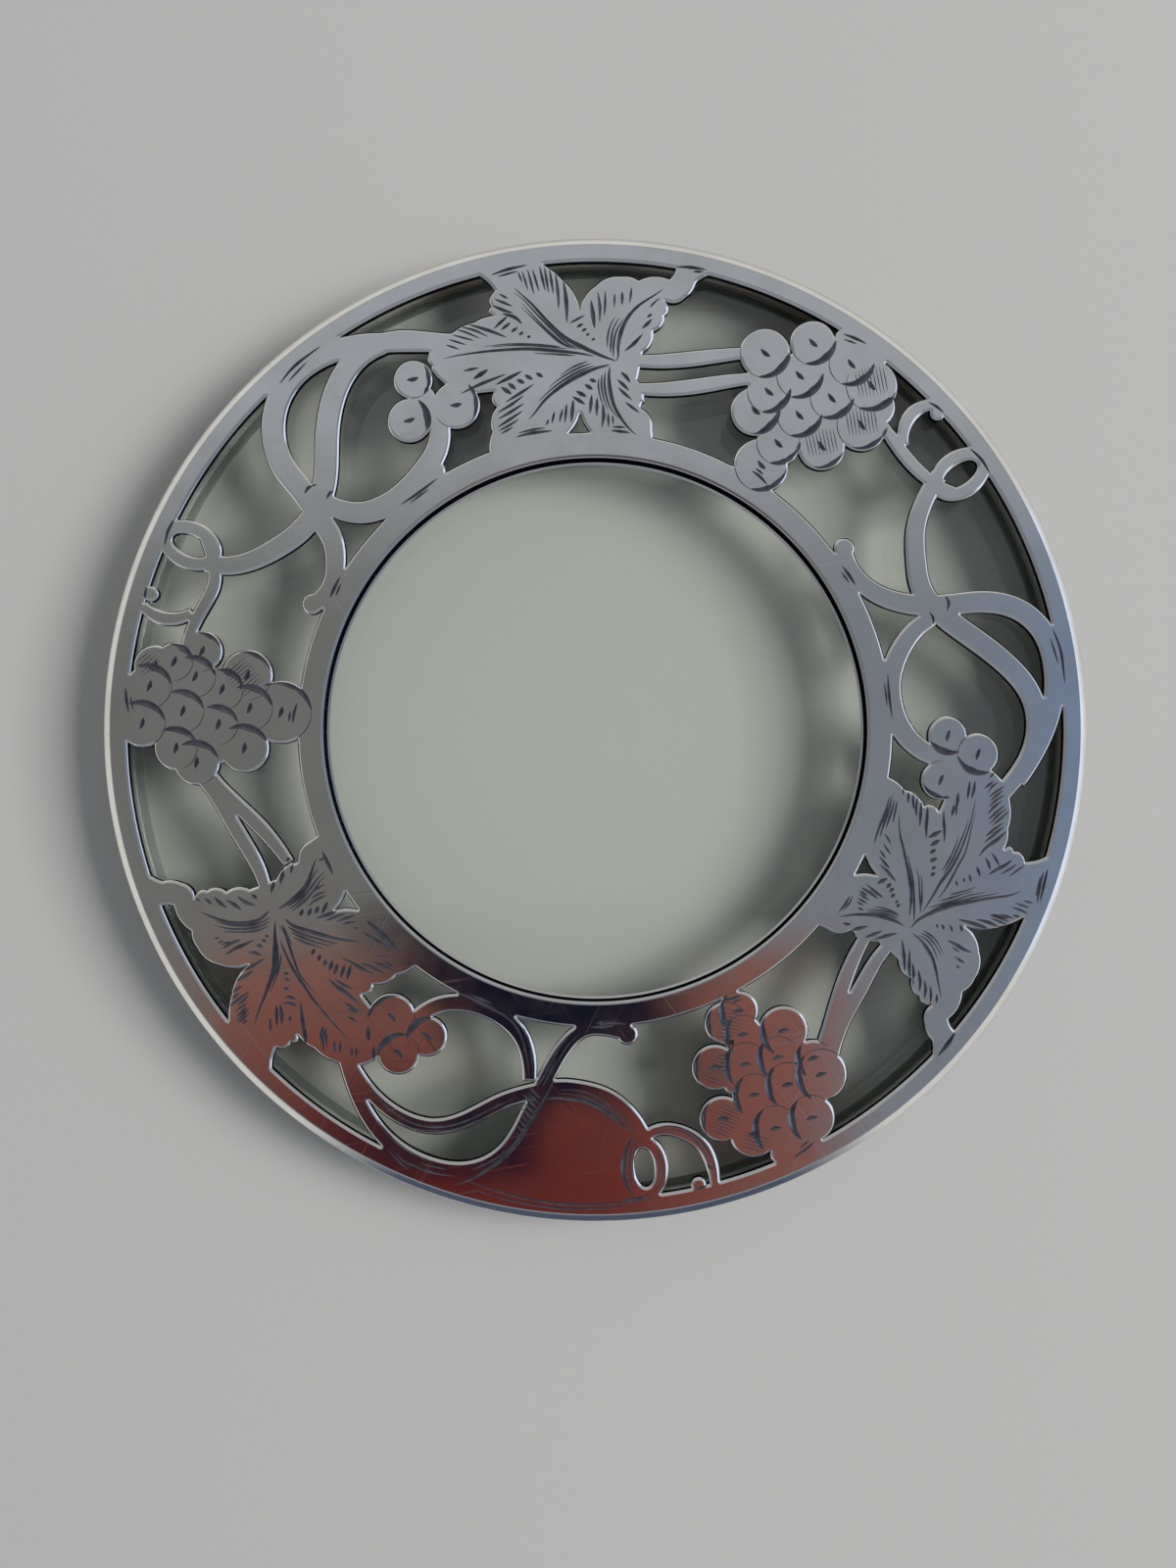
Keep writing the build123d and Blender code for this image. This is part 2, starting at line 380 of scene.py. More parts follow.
edge_width = 0.38
edge_drop = 0.29
edge_curve = 1.25
edge_rows = (0.05, 0.16, 0.32, 0.52, 0.75, 1)
edge_keep = 0.2
cut_slope = 0.55
cut_swell = 0.55
cut_step = 0.45
cut_least = 0.03
cut_fewest = 6
outer_border = 2.2
inner_border = 3.2
vine_inside = hole_radius + inner_border
vine_width = rim_radius - outer_border - vine_inside
speck = 1e-12


def openings():
    """Outlines of the sawn openings, in millimetres, from the top of the frame's plate."""
    level, roundness = 0.01, 0.2
    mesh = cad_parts["pierced_plate"].data
    mesh.calc_loop_triangles()
    edges = set()
    for face in mesh.loop_triangles:
        spots = [mesh.vertices[i].co / mm for i in face.vertices]
        if min(s.z for s in spots) < plate_top - level:
            continue
        keys = [(round(s.x, 4), round(s.y, 4)) for s in spots]
        edges.update(zip(keys, keys[1:] + keys[:1]))
    after = {a: b for a, b in edges if (b, a) not in edges}
    loops = []
    while after:
        spot, follow = after.popitem()
        loop = [spot]
        while follow != loop[0]:
            loop.append(follow)
            follow = after.pop(follow)
        loops.append(np.array(loop))
    # The sheet's own rim and hole are round, and the openings aren't
    loops = [loop for loop in loops if np.ptp(np.hypot(*loop.T)) > roundness]
    return sorted(loops, key=lambda loop: tuple(round(low, 3) for low in loop.min(0)))


def smoothed(loop):
    """An outline with more points on its curves, by the four-point rule; sharp corners are kept."""
    finest, sharp, passes = 0.5, math.radians(38), 5
    for _ in range(passes):
        ahead = np.roll(loop, -1, axis=0)
        step = ahead - loop
        turn = np.arctan2(step[:, 1], step[:, 0])
        bend = np.abs((turn - np.roll(turn, 1) + math.pi) % (2 * math.pi) - math.pi)
        corner = bend > sharp
        spots = []
        for i in range(len(loop)):
            a, b, c, d = (loop[(i + k) % len(loop)] for k in (-1, 0, 1, 2))
            spots.append(b)
            if np.hypot(*(c - b)) < finest:
                continue
            before = 2 * b - c if corner[i] else a
            beyond = 2 * c - b if corner[(i + 1) % len(loop)] else d
            spots.append((9 * (b + c) - before - beyond) / 16)
        loop = np.array(spots)
    return loop


def moved_in(loop, distance):
    """An outline moved into the metal, which is on its left, and carried round its tips."""
    tip, fan, sharpest = math.radians(25), math.radians(20), 0.4
    steps = [loop - np.roll(loop, 1, axis=0), np.roll(loop, -1, axis=0) - loop]
    before, after = (np.arctan2(step[:, 1], step[:, 0]) + math.pi / 2 for step in steps)
    bend = (after - before + math.pi) % (2 * math.pi) - math.pi
    spots = []
    for spot, first, turn in zip(loop, before, bend):
        if turn < -tip:
            count = math.ceil(-turn / fan)
            ways = [(first + turn * i / count, distance) for i in range(count + 1)]
        else:
            ways = [(first + turn / 2, distance / max(math.cos(turn / 2), sharpest))]
        spots.extend(spot + reach * np.array((math.cos(way), math.sin(way))) for way, reach in ways)
    return np.array(spots)


def away(spots, line, closed):
    """Distance of each spot from a line, and how far along the line's points that is."""
    ends = np.roll(line, -1, axis=0) if closed else line[1:]
    starts = line if closed else line[:-1]
    run = ends - starts
    length = np.maximum((run * run).sum(1), speck)
    offset = spots[:, None, :] - starts[None]
    share = np.clip((offset * run[None]).sum(2) / length, 0, 1)
    gap = np.hypot(*np.moveaxis(offset - share[..., None] * run[None], 2, 0))
    nearest = gap.argmin(1)
    rows = np.arange(len(spots))
    return gap[rows, nearest], nearest + share[rows, nearest]


def inside(spots, loop):
    """Which spots lie within an outline."""
    x, y = spots[:, :1], spots[:, 1:]
    a, b = loop, np.roll(loop, -1, axis=0)
    spans = (a[:, 1] > y) != (b[:, 1] > y)
    rise = np.where(b[:, 1] == a[:, 1], speck, b[:, 1] - a[:, 1])
    crossing = a[:, 0] + (y - a[:, 1]) * (b[:, 0] - a[:, 0]) / rise
    return ((spans & (x < crossing)).sum(1) % 2).astype(bool)


def around(spots, line, margin):
    """Numbers of the spots in the box round a line."""
    low, high = line.min(0) - margin, line.max(0) + margin
    return np.nonzero(((spots >= low) & (spots <= high)).all(1))[0]


def leftwards(line):
    """The way to the left of a line, at each of its points."""
    way = np.gradient(line, axis=0)
    way /= np.maximum(np.hypot(*way.T), speck)[:, None]
    return np.column_stack((-way[:, 1], way[:, 0]))


def at(angle, radius):
    """A point of the plate in millimetres; angles run clockwise from the top."""
    turn = math.radians(angle)
    return np.array((radius * math.sin(turn), radius * math.cos(turn)))


sawn = [smoothed(loop) for loop in openings()]
cuts = []


def cut(route, width, peak=0.5, lean=0):
    """One stroke of the graver: a V that swells to its width at a share of its length. It leans
    to the left or right of its route, and keeps clear of the sawn edges."""
    points = np.array(route, dtype=float)
    chord = np.concatenate(([0], np.cumsum(np.hypot(*np.diff(points, axis=0).T))))
    steps = max(cut_fewest, int(chord[-1] / cut_step))
    ends = np.vstack((2 * points[0] - points[1], points, 2 * points[-1] - points[-2]))
    line = []
    for along in np.linspace(0, chord[-1], steps + 1):
        i = min(int(np.searchsorted(chord, along, side="right")) - 1, len(points) - 2)
        t = (along - chord[i]) / max(chord[i + 1] - chord[i], speck)
        a, b, c, d = ends[i:i + 4]
        line.append(0.5 * (2 * b + (c - a) * t + (2 * a - 5 * b + 4 * c - d) * t * t
                           + (3 * b - a - 3 * c + d) * t ** 3))
    line = np.array(line)
    share = np.linspace(0, 1, steps + 1)
    swell = np.where(share < peak, share / peak, (1 - share) / (1 - peak)) ** cut_swell
    half = width / 2 * swell
    line = line + lean * half[:, None] * leftwards(line)
    for loop in sawn:
        near = around(line, loop, edge_keep + width)
        if len(near):
            gap, _ = away(line[near], loop, True)
            room = np.where(inside(line[near], loop), -1.0, gap - edge_keep)
            half[near] = np.minimum(half[near], room)
    keep = np.nonzero(half > cut_least)[0]
    runs = np.split(keep, np.nonzero(np.diff(keep) > 1)[0] + 1)
    for run in runs:
        if len(run) > 2:
            low, high = max(run[0] - 1, 0), min(run[-1] + 1, steps)
            body = half[low:high + 1].copy()
            body[0] = body[-1] = 0
            cuts.append((line[low:high + 1], body))


def engrave(strokes, start=0, least=0, share=1, peak=0.5):
    """Cuts strokes that are written as the angle and radius of each point, and then the width."""
    for *route, width in strokes:
        points = zip(route[::2], route[1::2])
        cut([at(start + angle, radius) for angle, radius in points], least + share * width, peak)


# Veins and hatching of the three leaves: each point's degrees from where the veins meet and its
# radius in millimetres, and the stroke's width last. The finest strokes are cut wider than they
# are written, so that they show.
first_veins = [
    (0.9, 52.3, -1.5, 53, -4.5, 54.3, -7, 55.8, -9, 58, -11, 61, -13, 63.8, 0.62),
    (-4.5, 53.9, -6.5, 54.8, -8.5, 56.8, -10.2, 59, -12, 61.8, -13.2, 63.2, 0.26),
    (-5.2, 53.9, -7.3, 55, -9.3, 57, -11, 59.3, -12.4, 61.6, 0.24),
    (-6, 54, -8, 55.3, -10, 57.5, -11.6, 59.6, -12.6, 61, 0.2),
    (-2.5, 52.9, -5, 53.4, -9, 54.1, -13, 54.9, -18, 55.7, -22, 56.4, -25, 56.9, 0.5),
    (-6.5, 54.1, -10, 54.8, -14, 55.6, -18, 56.3, 0.22),
    (-7.5, 54.5, -11, 55.2, -15, 56, -19, 56.6, 0.2), (-5.5, 53.1, -9, 53.6, -12, 54.1, 0.22),
    (-0.1, 51.8, -2.5, 51.2, -5, 50.3, -8, 49, -11, 47.4, -13.5, 45.6, -14.8, 44.9, 0.62),
    (-2.5, 51.7, -5, 50.9, -8, 49.6, -10.5, 48.3, -12.5, 47.1, 0.28),
    (-3, 52, -5.5, 51.2, -8.5, 49.9, -10.5, 48.8, 0.24), (-3.5, 52.3, -6, 51.5, -8.5, 50.3, 0.2),
    (-0.2, 51.6, -0.3, 50, 0, 48, 0.8, 46, 2.2, 44.3, 4, 42.9, 5.6, 42.1, 0.58),
    (-0.9, 50.9, -1, 49, -0.6, 47.2, 0.3, 45.5, 1.8, 44.2, 0.3),
    (-1.4, 50.5, -1.5, 48.8, -1, 46.9, -0.1, 45.2, 0.24),
    (-1.9, 50, -2, 48.6, -1.5, 46.8, -0.7, 45.4, 0.2),
    (0.7, 52.3, 1, 53, 0.9, 54.5, 1.2, 56.5, 2, 58.6, 3.4, 60.5, 5.5, 62.4, 6.3, 63.3, 0.55),
    (0.3, 52.7, 0.2, 54.5, 0.5, 56.5, 1.5, 58.6, 0.28),
    (-0.2, 53.2, -0.2, 55, 0.1, 57, 1, 58.8, 0.24),
    (-0.7, 54, -0.7, 55.8, -0.3, 57.5, 0.4, 58.8, 0.2), (4.8, 60.3, 5.5, 61.3, 6.1, 62, 0.22),
]
first_hatching = [
    (-12.1, 65.9, -11.8, 64.2, 0.2), (-11.6, 66, -11.2, 62.9, 0.22),
    (-10.9, 66.1, -10.5, 62.2, 0.26), (-10.3, 66, -9.8, 62.5, 0.26), (-9.4, 66.3, -9, 62.5, 0.32),
    (-8.8, 66.1, -8.6, 62.2, 0.3), (-8.2, 65.8, -8, 62, 0.3),
    (-7.5, 65.2, -7.4, 62, -7.5, 59.8, 0.38), (-6.6, 64, -6.4, 61, -6.5, 57.7, 0.55),
    (-15, 63.3, -13.9, 62.3, 0.24), (-15.8, 62.8, -13.5, 61.1, 0.32),
    (-16.3, 62, -14.6, 60.7, -13.6, 60.2, 0.42), (-15.2, 60.5, -13.6, 59.6, -12.7, 58.4, 0.48),
    (-16.8, 58.6, -14.4, 60, 0.36), (-15.8, 58.2, -14.2, 59, 0.38),
    (-14.5, 57.6, -13.4, 58.1, 0.38), (-13.5, 57, -12.7, 57.3, 0.36),
    (-12.4, 56.4, -11.8, 56.6, 0.32), (-20, 60.3, -17.5, 58.6, -15.2, 57, 0.44),
    (-21.2, 60.4, -19.3, 59.1, -17.7, 57.7, 0.26), (-22, 60.3, -20.5, 59.2, -18.8, 57.7, 0.22),
    (-22.5, 59.6, -19.7, 57.7, 0.22), (-23.2, 59.2, -21, 57.5, 0.22),
    (-23.8, 58.6, -22.1, 57.2, 0.2), (-22.8, 54.2, -20.3, 53.9, 0.32),
    (-21.8, 52.6, -19, 53.3, 0.6), (-24.4, 51.3, -21, 51.6, -16.5, 52, 0.42),
    (-18.7, 50.9, -16, 51.4, -14, 51.9, 0.5), (-17.9, 50.4, -16.5, 49, 0.6),
    (-16.7, 50.7, -15.6, 49.5, 0.58), (-15.2, 50.9, -14, 50.1, 0.56),
    (-13.8, 51.3, -12.6, 50.4, 0.54), (-12, 51.3, -10.9, 50.5, 0.5),
    (-18, 48.1, -15, 48.9, -12.5, 49.8, 0.36), (-19.8, 47, -17, 47.6, -14.5, 48.5, 0.36),
    (-20, 46.1, -17.5, 46.6, -14.7, 47.4, 0.36), (-20.6, 45, -18, 45.6, -15.2, 46.4, 0.36),
    (-20.6, 44.5, -18, 44.9, -16.2, 45.4, 0.26), (-20.4, 44, -17.5, 44.5, 0.22),
    (-17.8, 43, -14.5, 43, -10.5, 42.8, 0.42), (-17.2, 43.45, -14, 43.45, -11.8, 43.35, 0.26),
    (-6.3, 47, -7, 43.6, 0.5), (-7.5, 46.5, -8.2, 43.6, 0.32), (-8.3, 45.8, -9.2, 43.8, 0.3),
    (-9.8, 45.5, -10.6, 43.8, 0.28), (-11, 44.5, -11.7, 43.7, 0.24), (-3.5, 49.7, -2.3, 49.3, 0.48),
    (-4.3, 49, -2.9, 48.2, 0.52), (-5.8, 48.1, -4, 47.2, 0.56), (-6.5, 47.4, -4.2, 46.1, 0.46),
    (-3.1, 47.6, -3.5, 44.7, 0.46), (-2.2, 47.2, -2.3, 44.3, 0.42),
    (-1.3, 46.4, -1, 44.5, -1.3, 42.7, 0.46), (-0.2, 45, 0, 42.8, 0.28),
    (0.6, 44.7, 0.9, 43.3, 0.22), (0.3, 42.5, 4.3, 42.4, 0.36), (0.6, 43, 3.3, 43.1, 0.26),
    (1.5, 50.9, 2.5, 50.2, 3.3, 49.4, 0.46), (1, 49.8, 2.2, 49, 3.2, 48.3, 0.42),
    (1.2, 48.7, 2.5, 47.8, 3.9, 47, 0.38), (2.6, 46.7, 4, 46, 5.5, 45.3, 0.32),
    (-3.1, 61, -2.8, 58.5, -2.6, 56.8, 0.58), (-2.2, 62.2, -1.9, 60, -1.9, 57.6, 0.36),
    (-1.2, 62.3, -1.2, 60, -1.3, 58.6, 0.3), (0.05, 62, 0.05, 59.8, 0.22),
    (1, 62.3, 1.1, 60.3, 0.38), (2.2, 63, 2.1, 60.6, 0.28), (-6.2, 57.7, -3.9, 58.8, 0.28),
    (-5.2, 57.1, -4.2, 57.6, 0.36), (-4.5, 56.5, -3.7, 56.9, 0.34), (-3.9, 55.9, -3.3, 56.2, 0.32),
    (-3.1, 55.2, -2.5, 55.5, 0.3), (1.9, 53.8, 3.2, 55, 4.4, 56.6, 0.46),
    (4.1, 57.2, 4.8, 58, 5.4, 58.8, 0.42), (4.6, 58.9, 5.3, 59.5, 0.32),
    (-15.5, 66.1, -13.5, 66.4, -10.8, 66.6, 0.38), (-14.8, 65.7, -12, 65.95, 0.24),
    (7.4, 66.6, 9, 66.9, 11.2, 67.1, 0.42), (9.5, 66.4, 10.8, 66.7, 0.28),
]
second_veins = [
    (-0.1, 52.8, -1.9, 53.1, -3.7, 54.1, -5.4, 55.5, -6.8, 57, -8.1, 58.9, -9, 60.2, -10, 62,
     -10.8, 63.4, -11.8, 64.7, 0.59),
    (-4.1, 54, -5.4, 55, -6.7, 56.4, -8, 58, -9.1, 59.5, -10, 61, -10.6, 61.9, 0.28),
    (-4.3, 53.5, -5.8, 55, -7.2, 56.5, -8.6, 58, -9.5, 59.3, -10.1, 60.2, 0.24),
    (-5.9, 54.4, -7.3, 55.9, -8.5, 57.2, -9.5, 58.4, 0.21),
    (-7.4, 55.3, -8.4, 56.5, -9.2, 57.5, -10.2, 58.5, 0.2),
    (-3.3, 53.1, -6, 53.3, -8.5, 53.5, -11.1, 54.1, -14.1, 54.5, -17.2, 54.7, -19.9, 54.8,
     -22.3, 54.8, 0.42),
    (-5.9, 54.1, -7.9, 54.5, -9.9, 54.7, -11.9, 54.9, -13.9, 55.2, -16, 55.2, -18.1, 55.1,
     -20.2, 55.2, 0.28),
    (-9.7, 53.4, -12.2, 53.8, -14.2, 54, -17.3, 54.3, -19.2, 54.4, 0.31),
    (-10.2, 53.1, -12.3, 53.4, -14.3, 53.6, -16.4, 53.7, 0.25),
    (-1.7, 51.8, -3.2, 51.2, -5, 50.4, -6.7, 49.5, -8.4, 48.5, -10, 47.5, -11.7, 46.6, -13.4, 45.7,
     -15.1, 45.1, -17, 44.7, 0.59),
    (-1.3, 52.8, -2.8, 52, -4.3, 51.2, -6.1, 50.3, -7.8, 49.4, -9.6, 48.3, -11, 47.4, 0.39),
    (-2.9, 53, -4.4, 52.2, -6.2, 51.2, -7.9, 50.4, -9.4, 49.4, 0.28),
    (-4, 52.7, -5.8, 51.8, -7.4, 51.1, -8.8, 50.3, 0.22),
    (0, 52, 0, 50.8, 0.2, 49.7, 0.6, 48.5, 1.3, 47.2, 2.3, 45.9, 3.4, 44.8, 5.1, 43.5, 0.59),
    (-0.5, 50.8, -0.4, 49.7, 0, 48.5, 0.6, 47.4, 1.4, 46.2, 0.28),
    (-0.9, 50.7, -0.8, 49.5, -0.3, 48.2, 0.4, 47, 1.2, 45.9, 0.24),
    (-1.2, 50.5, -1, 49.1, -0.6, 47.8, 0.1, 46.6, 0.21),
    (0.2, 53.3, 0.4, 54.7, 0.9, 56.2, 1.6, 57.6, 2.6, 58.9, 3.7, 60.1, 4.7, 61.3, 5.3, 62.1, 0.56),
    (-0.1, 54.3, -0.1, 55.5, 0.2, 56.6, 0.9, 57.8, 1.5, 58.6, 0.25),
    (-0.5, 54.3, -0.6, 55.5, -0.3, 56.6, 0.3, 57.9, 0.9, 58.7, 0.22),
    (-1, 54.3, -1, 55.5, -0.8, 56.6, -0.1, 58, 0.6, 58.9, 0.2),
]
second_hatching = [
    (-15.5, 67.1, -13.9, 67.2, -12.5, 67.4, -11.3, 67.6, 0.42),
    (-15, 66.7, -13.5, 66.7, -12.1, 67, -11, 67.3, 0.36),
    (-14.3, 66.4, -12.9, 66.6, -11.6, 66.8, 0.28), (-10.9, 66.8, -10.8, 66.1, -10.7, 65.3, 0.22),
    (-10.2, 66.6, -10.1, 65.3, -10.1, 64.3, 0.25), (-9.4, 66.8, -9.5, 65.6, -9.4, 64.1, 0.28),
    (-8.7, 65.8, -8.6, 65.2, -8.6, 64.7, 0.28), (-8.2, 65.1, -8.1, 64, -8, 63, 0.28),
    (-7.9, 64.5, -7.7, 63, -7.5, 61.8, 0.28), (-7.6, 64.8, -7.5, 63.1, -7.3, 61.6, 0.28),
    (-7.2, 64.8, -7.1, 63.5, -7, 61.9, 0.22), (-6.4, 63.9, -6.4, 62.2, -6, 60.2, 0.42),
    (-5.7, 63.3, -5.5, 61.3, -5.1, 59, -4.9, 58, 0.5), (-15, 63.9, -14.1, 63.1, -12.9, 62.2, 0.22),
    (-14.9, 62.8, -13.8, 61.9, -12.8, 60.9, 0.28),
    (-15.2, 61.9, -14.2, 61.2, -13.1, 60.1, -12.2, 59.4, 0.48),
    (-13.8, 60.5, -14.4, 59.8, -15.3, 58.8, 0.42), (-12.9, 59.4, -13.6, 58.9, -14.4, 58.1, 0.45),
    (-11.6, 58.4, -12.3, 57.8, -12.8, 57.4, 0.42), (-10.3, 57.5, -10.9, 57.1, -11.4, 56.8, 0.36),
    (-10, 56.6, -10.6, 56.3, 0.28), (-9.1, 55.9, -9.8, 55.4, 0.31),
    (-18.5, 59.9, -17.1, 58.9, -15.6, 57.8, -14.1, 57.2, 0.42),
    (-18.7, 59.3, -17.5, 58.3, -16.2, 57.3, 0.36), (-18.9, 58.6, -17.8, 57.8, -17.2, 57.3, 0.28),
    (-9.7, 52.3, -8.9, 51.8, 0.48), (-10.6, 52, -9.9, 51.6, 0.42), (-12, 51.8, -10.9, 50.9, 0.56),
    (-13.2, 51.2, -12.1, 50.5, 0.48), (-14.8, 51.3, -13.3, 50.2, 0.56),
    (-16.3, 51.2, -14.5, 49.6, 0.59), (-14.5, 52, -16.3, 51.5, -18.3, 50.9, -19.5, 50.7, 0.42),
    (-19, 52.6, -20.2, 52.3, -21.4, 52.1, 0.34),
    (-14.3, 49.4, -16.3, 48.8, -18.3, 48.5, -20, 48.3, 0.56),
    (-15.8, 48, -17.9, 47.6, -20.2, 47.3, 0.48), (-17.1, 47.2, -19, 46.7, -20.8, 46.7, 0.42),
    (-18.3, 46.5, -20, 46.1, -21.2, 46, 0.36), (-19.2, 45.6, -20.6, 45.3, -21.7, 45.3, 0.39),
    (-20.4, 44.6, -21.9, 44.4, -22.6, 44.3, 0.34),
    (-10.1, 42.7, -13.4, 42.5, -16.8, 42.7, -19.9, 42.8, 0.48),
    (-11.6, 43.1, -14.8, 43, -17.9, 43.1, -20.2, 43.1, 0.39),
    (-13.6, 43.5, -16.7, 43.5, -19.6, 43.6, 0.34), (-14.9, 44.2, -17.5, 44, -19.4, 44, 0.31),
    (-9.6, 45.5, -10.3, 44.5, -11, 43.9, 0.31), (-8.6, 45, -9.6, 43.7, 0.31),
    (-7.2, 46.2, -7.9, 44.9, -8.5, 44, 0.36), (-5.7, 47.8, -6.5, 46.1, -7.2, 44.5, 0.5),
    (-11.2, 45, -12, 44.3, -12.8, 43.5, 0.28), (-2.7, 49.8, -2, 49.5, 0.42),
    (-3.1, 49.3, -2.4, 49.1, 0.36), (-3.8, 48.5, -2.9, 48.1, 0.48), (-4.6, 47.9, -3.5, 47.6, 0.5),
    (-5.1, 47.3, -3.9, 46.9, 0.48), (-5.6, 46.5, -3.8, 45.5, 0.56),
    (-2.2, 47.4, -2.4, 45.9, -2.8, 44, 0.39), (-1.6, 46.8, -1.8, 45.3, -1.8, 43.7, 0.39),
    (-1.1, 45.3, -1.1, 43.7, 0.28), (-0.6, 45.8, -0.6, 43.9, 0.28), (0.1, 45.8, 0.2, 44.1, 0.25),
    (0.7, 45.5, 0.9, 44.3, 0.22), (1.4, 45.9, 1.7, 44.9, 0.28),
    (0.5, 43.1, 2.6, 43.2, 4.6, 43.1, 0.31), (0.3, 43.4, 1.8, 43.6, 3.8, 43.5, 0.22),
    (1.4, 51.7, 2.5, 50.8, 3.5, 50.1, 4.6, 49.4, 0.45), (2.5, 49.7, 3.8, 49, 5.2, 48.2, 0.42),
    (3.2, 47.7, 4.5, 46.8, 5.9, 45.9, 0.48), (4.8, 45.6, 5.6, 44.5, 0.36),
    (-1.9, 62.1, -1.7, 60.9, -1.7, 59.5, -1.6, 58, 0.48), (-1.1, 60.5, -1.1, 59.1, 0.2),
    (-0.2, 62, -0.2, 60.1, 0.28), (0.7, 61.8, 0.7, 61, 0.22), (-3.6, 59.4, -4.4, 58.6, 0.42),
    (-2.9, 58.2, -3.7, 57.3, 0.42), (-2.6, 57, -3.2, 56.3, 0.42), (-2.4, 56.1, -2.8, 55.6, 0.34),
    (6.8, 61.4, 5.5, 60.3, 4.9, 59.7, 0.42), (6.8, 60.3, 5.6, 59.4, 4.7, 58.5, 0.48),
    (6.5, 59.1, 5.3, 58.2, 4.1, 57, 0.5), (6.3, 57.9, 5, 56.8, 3.8, 55.8, 0.5),
    (5.8, 56.9, 4.7, 55.8, 2.4, 54.3, 0.5), (5.5, 55.7, 3.9, 54.3, 1.8, 52.6, 0.56),
    (6.3, 62, 5.2, 61.2, 0.34), (-25, 54.3, -23.5, 54.3, -22, 54.2, 0.42),
    (-24.8, 53.6, -22.8, 53.6, -21.9, 53.7, 0.42), (-22.8, 52.2, -21.1, 52.3, -20.4, 52.5, 0.48),
    (-20.7, 51.9, -18.7, 52, 0.42), (-18.7, 60.1, -17.2, 59.1, -15.6, 58, 0.36),
    (-19.2, 59.6, -17.9, 58.5, -16.7, 57.8, 0.34), (-19.7, 59.4, -18.4, 58.2, -17.3, 57.4, 0.28),
    (-21.4, 59.8, -20.2, 58.9, -18.8, 57.8, 0.28), (-21.7, 59.4, -20.4, 58.3, -18.9, 57.4, 0.28),
    (-22.1, 59.1, -20.8, 58, -19.5, 57.1, 0.28), (-22.7, 58.6, -21.4, 57.5, -20.2, 56.8, 0.31),
    (-23.5, 58.8, -22.5, 57.7, -21.2, 56.7, 0.28), (-24.1, 58.5, -23, 57.5, -22.2, 56.8, 0.28),
    (-24.7, 58.6, -23.7, 57.5, -22.7, 56.5, 0.28), (-25.1, 57.6, -24.3, 56.8, -23.3, 56.3, 0.28),
    (-26.6, 57, -25.5, 56.3, 0.28), (-25.2, 57, -23.8, 55.7, 0.28),
    (7.4, 66.6, 9, 66.9, 11.2, 67.1, 0.59),
]
third_veins = [
    (-1.3, 52.9, -2.9, 53.8, -4.4, 54.7, -5.9, 55.8, -7, 56.7, -7.8, 57.7, -8.6, 58.9, -9.4, 60.3,
     -10.1, 61.7, -10.9, 63.1, -11.5, 63.9, 0.63),
    (-4.1, 54.1, -5.4, 54.9, -6.7, 55.8, -7.6, 56.7, -8.4, 58.2, -9.1, 59.5, -9.7, 60.6, 0.28),
    (-5.9, 54.6, -7.1, 55.7, -8, 56.8, -8.9, 58.3, -9.5, 59.4, 0.22),
    (-4.1, 53.7, -5.9, 54.1, -7.9, 54.5, -9.9, 54.8, -11.9, 55, -13.9, 55.3, -15.9, 55.5,
     -17.9, 55.7, -19.9, 55.9, -22.3, 56.2, 0.42),
    (-2.1, 52.7, -4, 52.7, -6, 53.2, -8, 53.8, -10, 54.4, -12, 54.5, -14.1, 54.6, 0.28),
    (-2.3, 52.3, -4, 52.5, -6.1, 52.8, 0.28),
    (-1.7, 51.5, -3.2, 51.2, -4.6, 50.4, -6, 49.4, -7.5, 48.4, -9.1, 47.4, -10.5, 46.4,
     -11.7, 45.5, -12.9, 44.9, 0.66),
    (-3, 51.8, -4.5, 51.2, -6.2, 50.2, -7.6, 49.2, -9.2, 48.2, -10.5, 47.3, 0.42),
    (-4, 51.9, -5.6, 51.1, -7.3, 50.1, -8.8, 49.1, -10.1, 48.2, 0.34),
    (-4.9, 52, -6.5, 51.2, -8.1, 50.2, -9.6, 49.3, 0.28),
    (0, 51.8, 0, 50.5, 0.2, 49.1, 0.6, 47.8, 1.4, 46.4, 2.4, 45.4, 3.7, 44.4, 4.9, 43.5, 0.63),
    (-0.4, 50.5, -0.3, 49.1, 0.1, 47.8, 0.9, 46.4, 2.1, 45.1, 3, 43.8, 0.34),
    (-0.9, 50.6, -0.8, 49.1, -0.3, 47.6, 0.4, 46.2, 1.2, 44.9, 1.9, 43.1, 0.34),
    (-1.4, 50.3, -1.2, 48.7, -0.8, 47.2, -0.1, 45.8, 0.7, 44.5, 0.9, 43.4, 0.31),
    (0.5, 52.8, 0.2, 53.7, 0, 54.7, 0.2, 55.8, 0.8, 57.2, 1.7, 58.6, 2.6, 59.6, 3.6, 60.6,
     4.8, 61.7, 0.59),
    (-0.5, 53.2, -0.5, 54.7, -0.1, 56.2, 0.6, 57.6, 1.5, 58.9, 2.4, 59.9, 3.1, 60.5, 0.36),
    (-1, 53.5, -0.9, 55.1, -0.5, 56.4, 0.2, 57.8, 1, 59.1, 1.8, 60.1, 2.4, 60.7, 0.34),
    (-1.5, 53.9, -1.3, 55.5, -0.9, 56.6, -0.3, 57.8, 0.5, 59.1, 1.1, 60.1, 0.28),
]
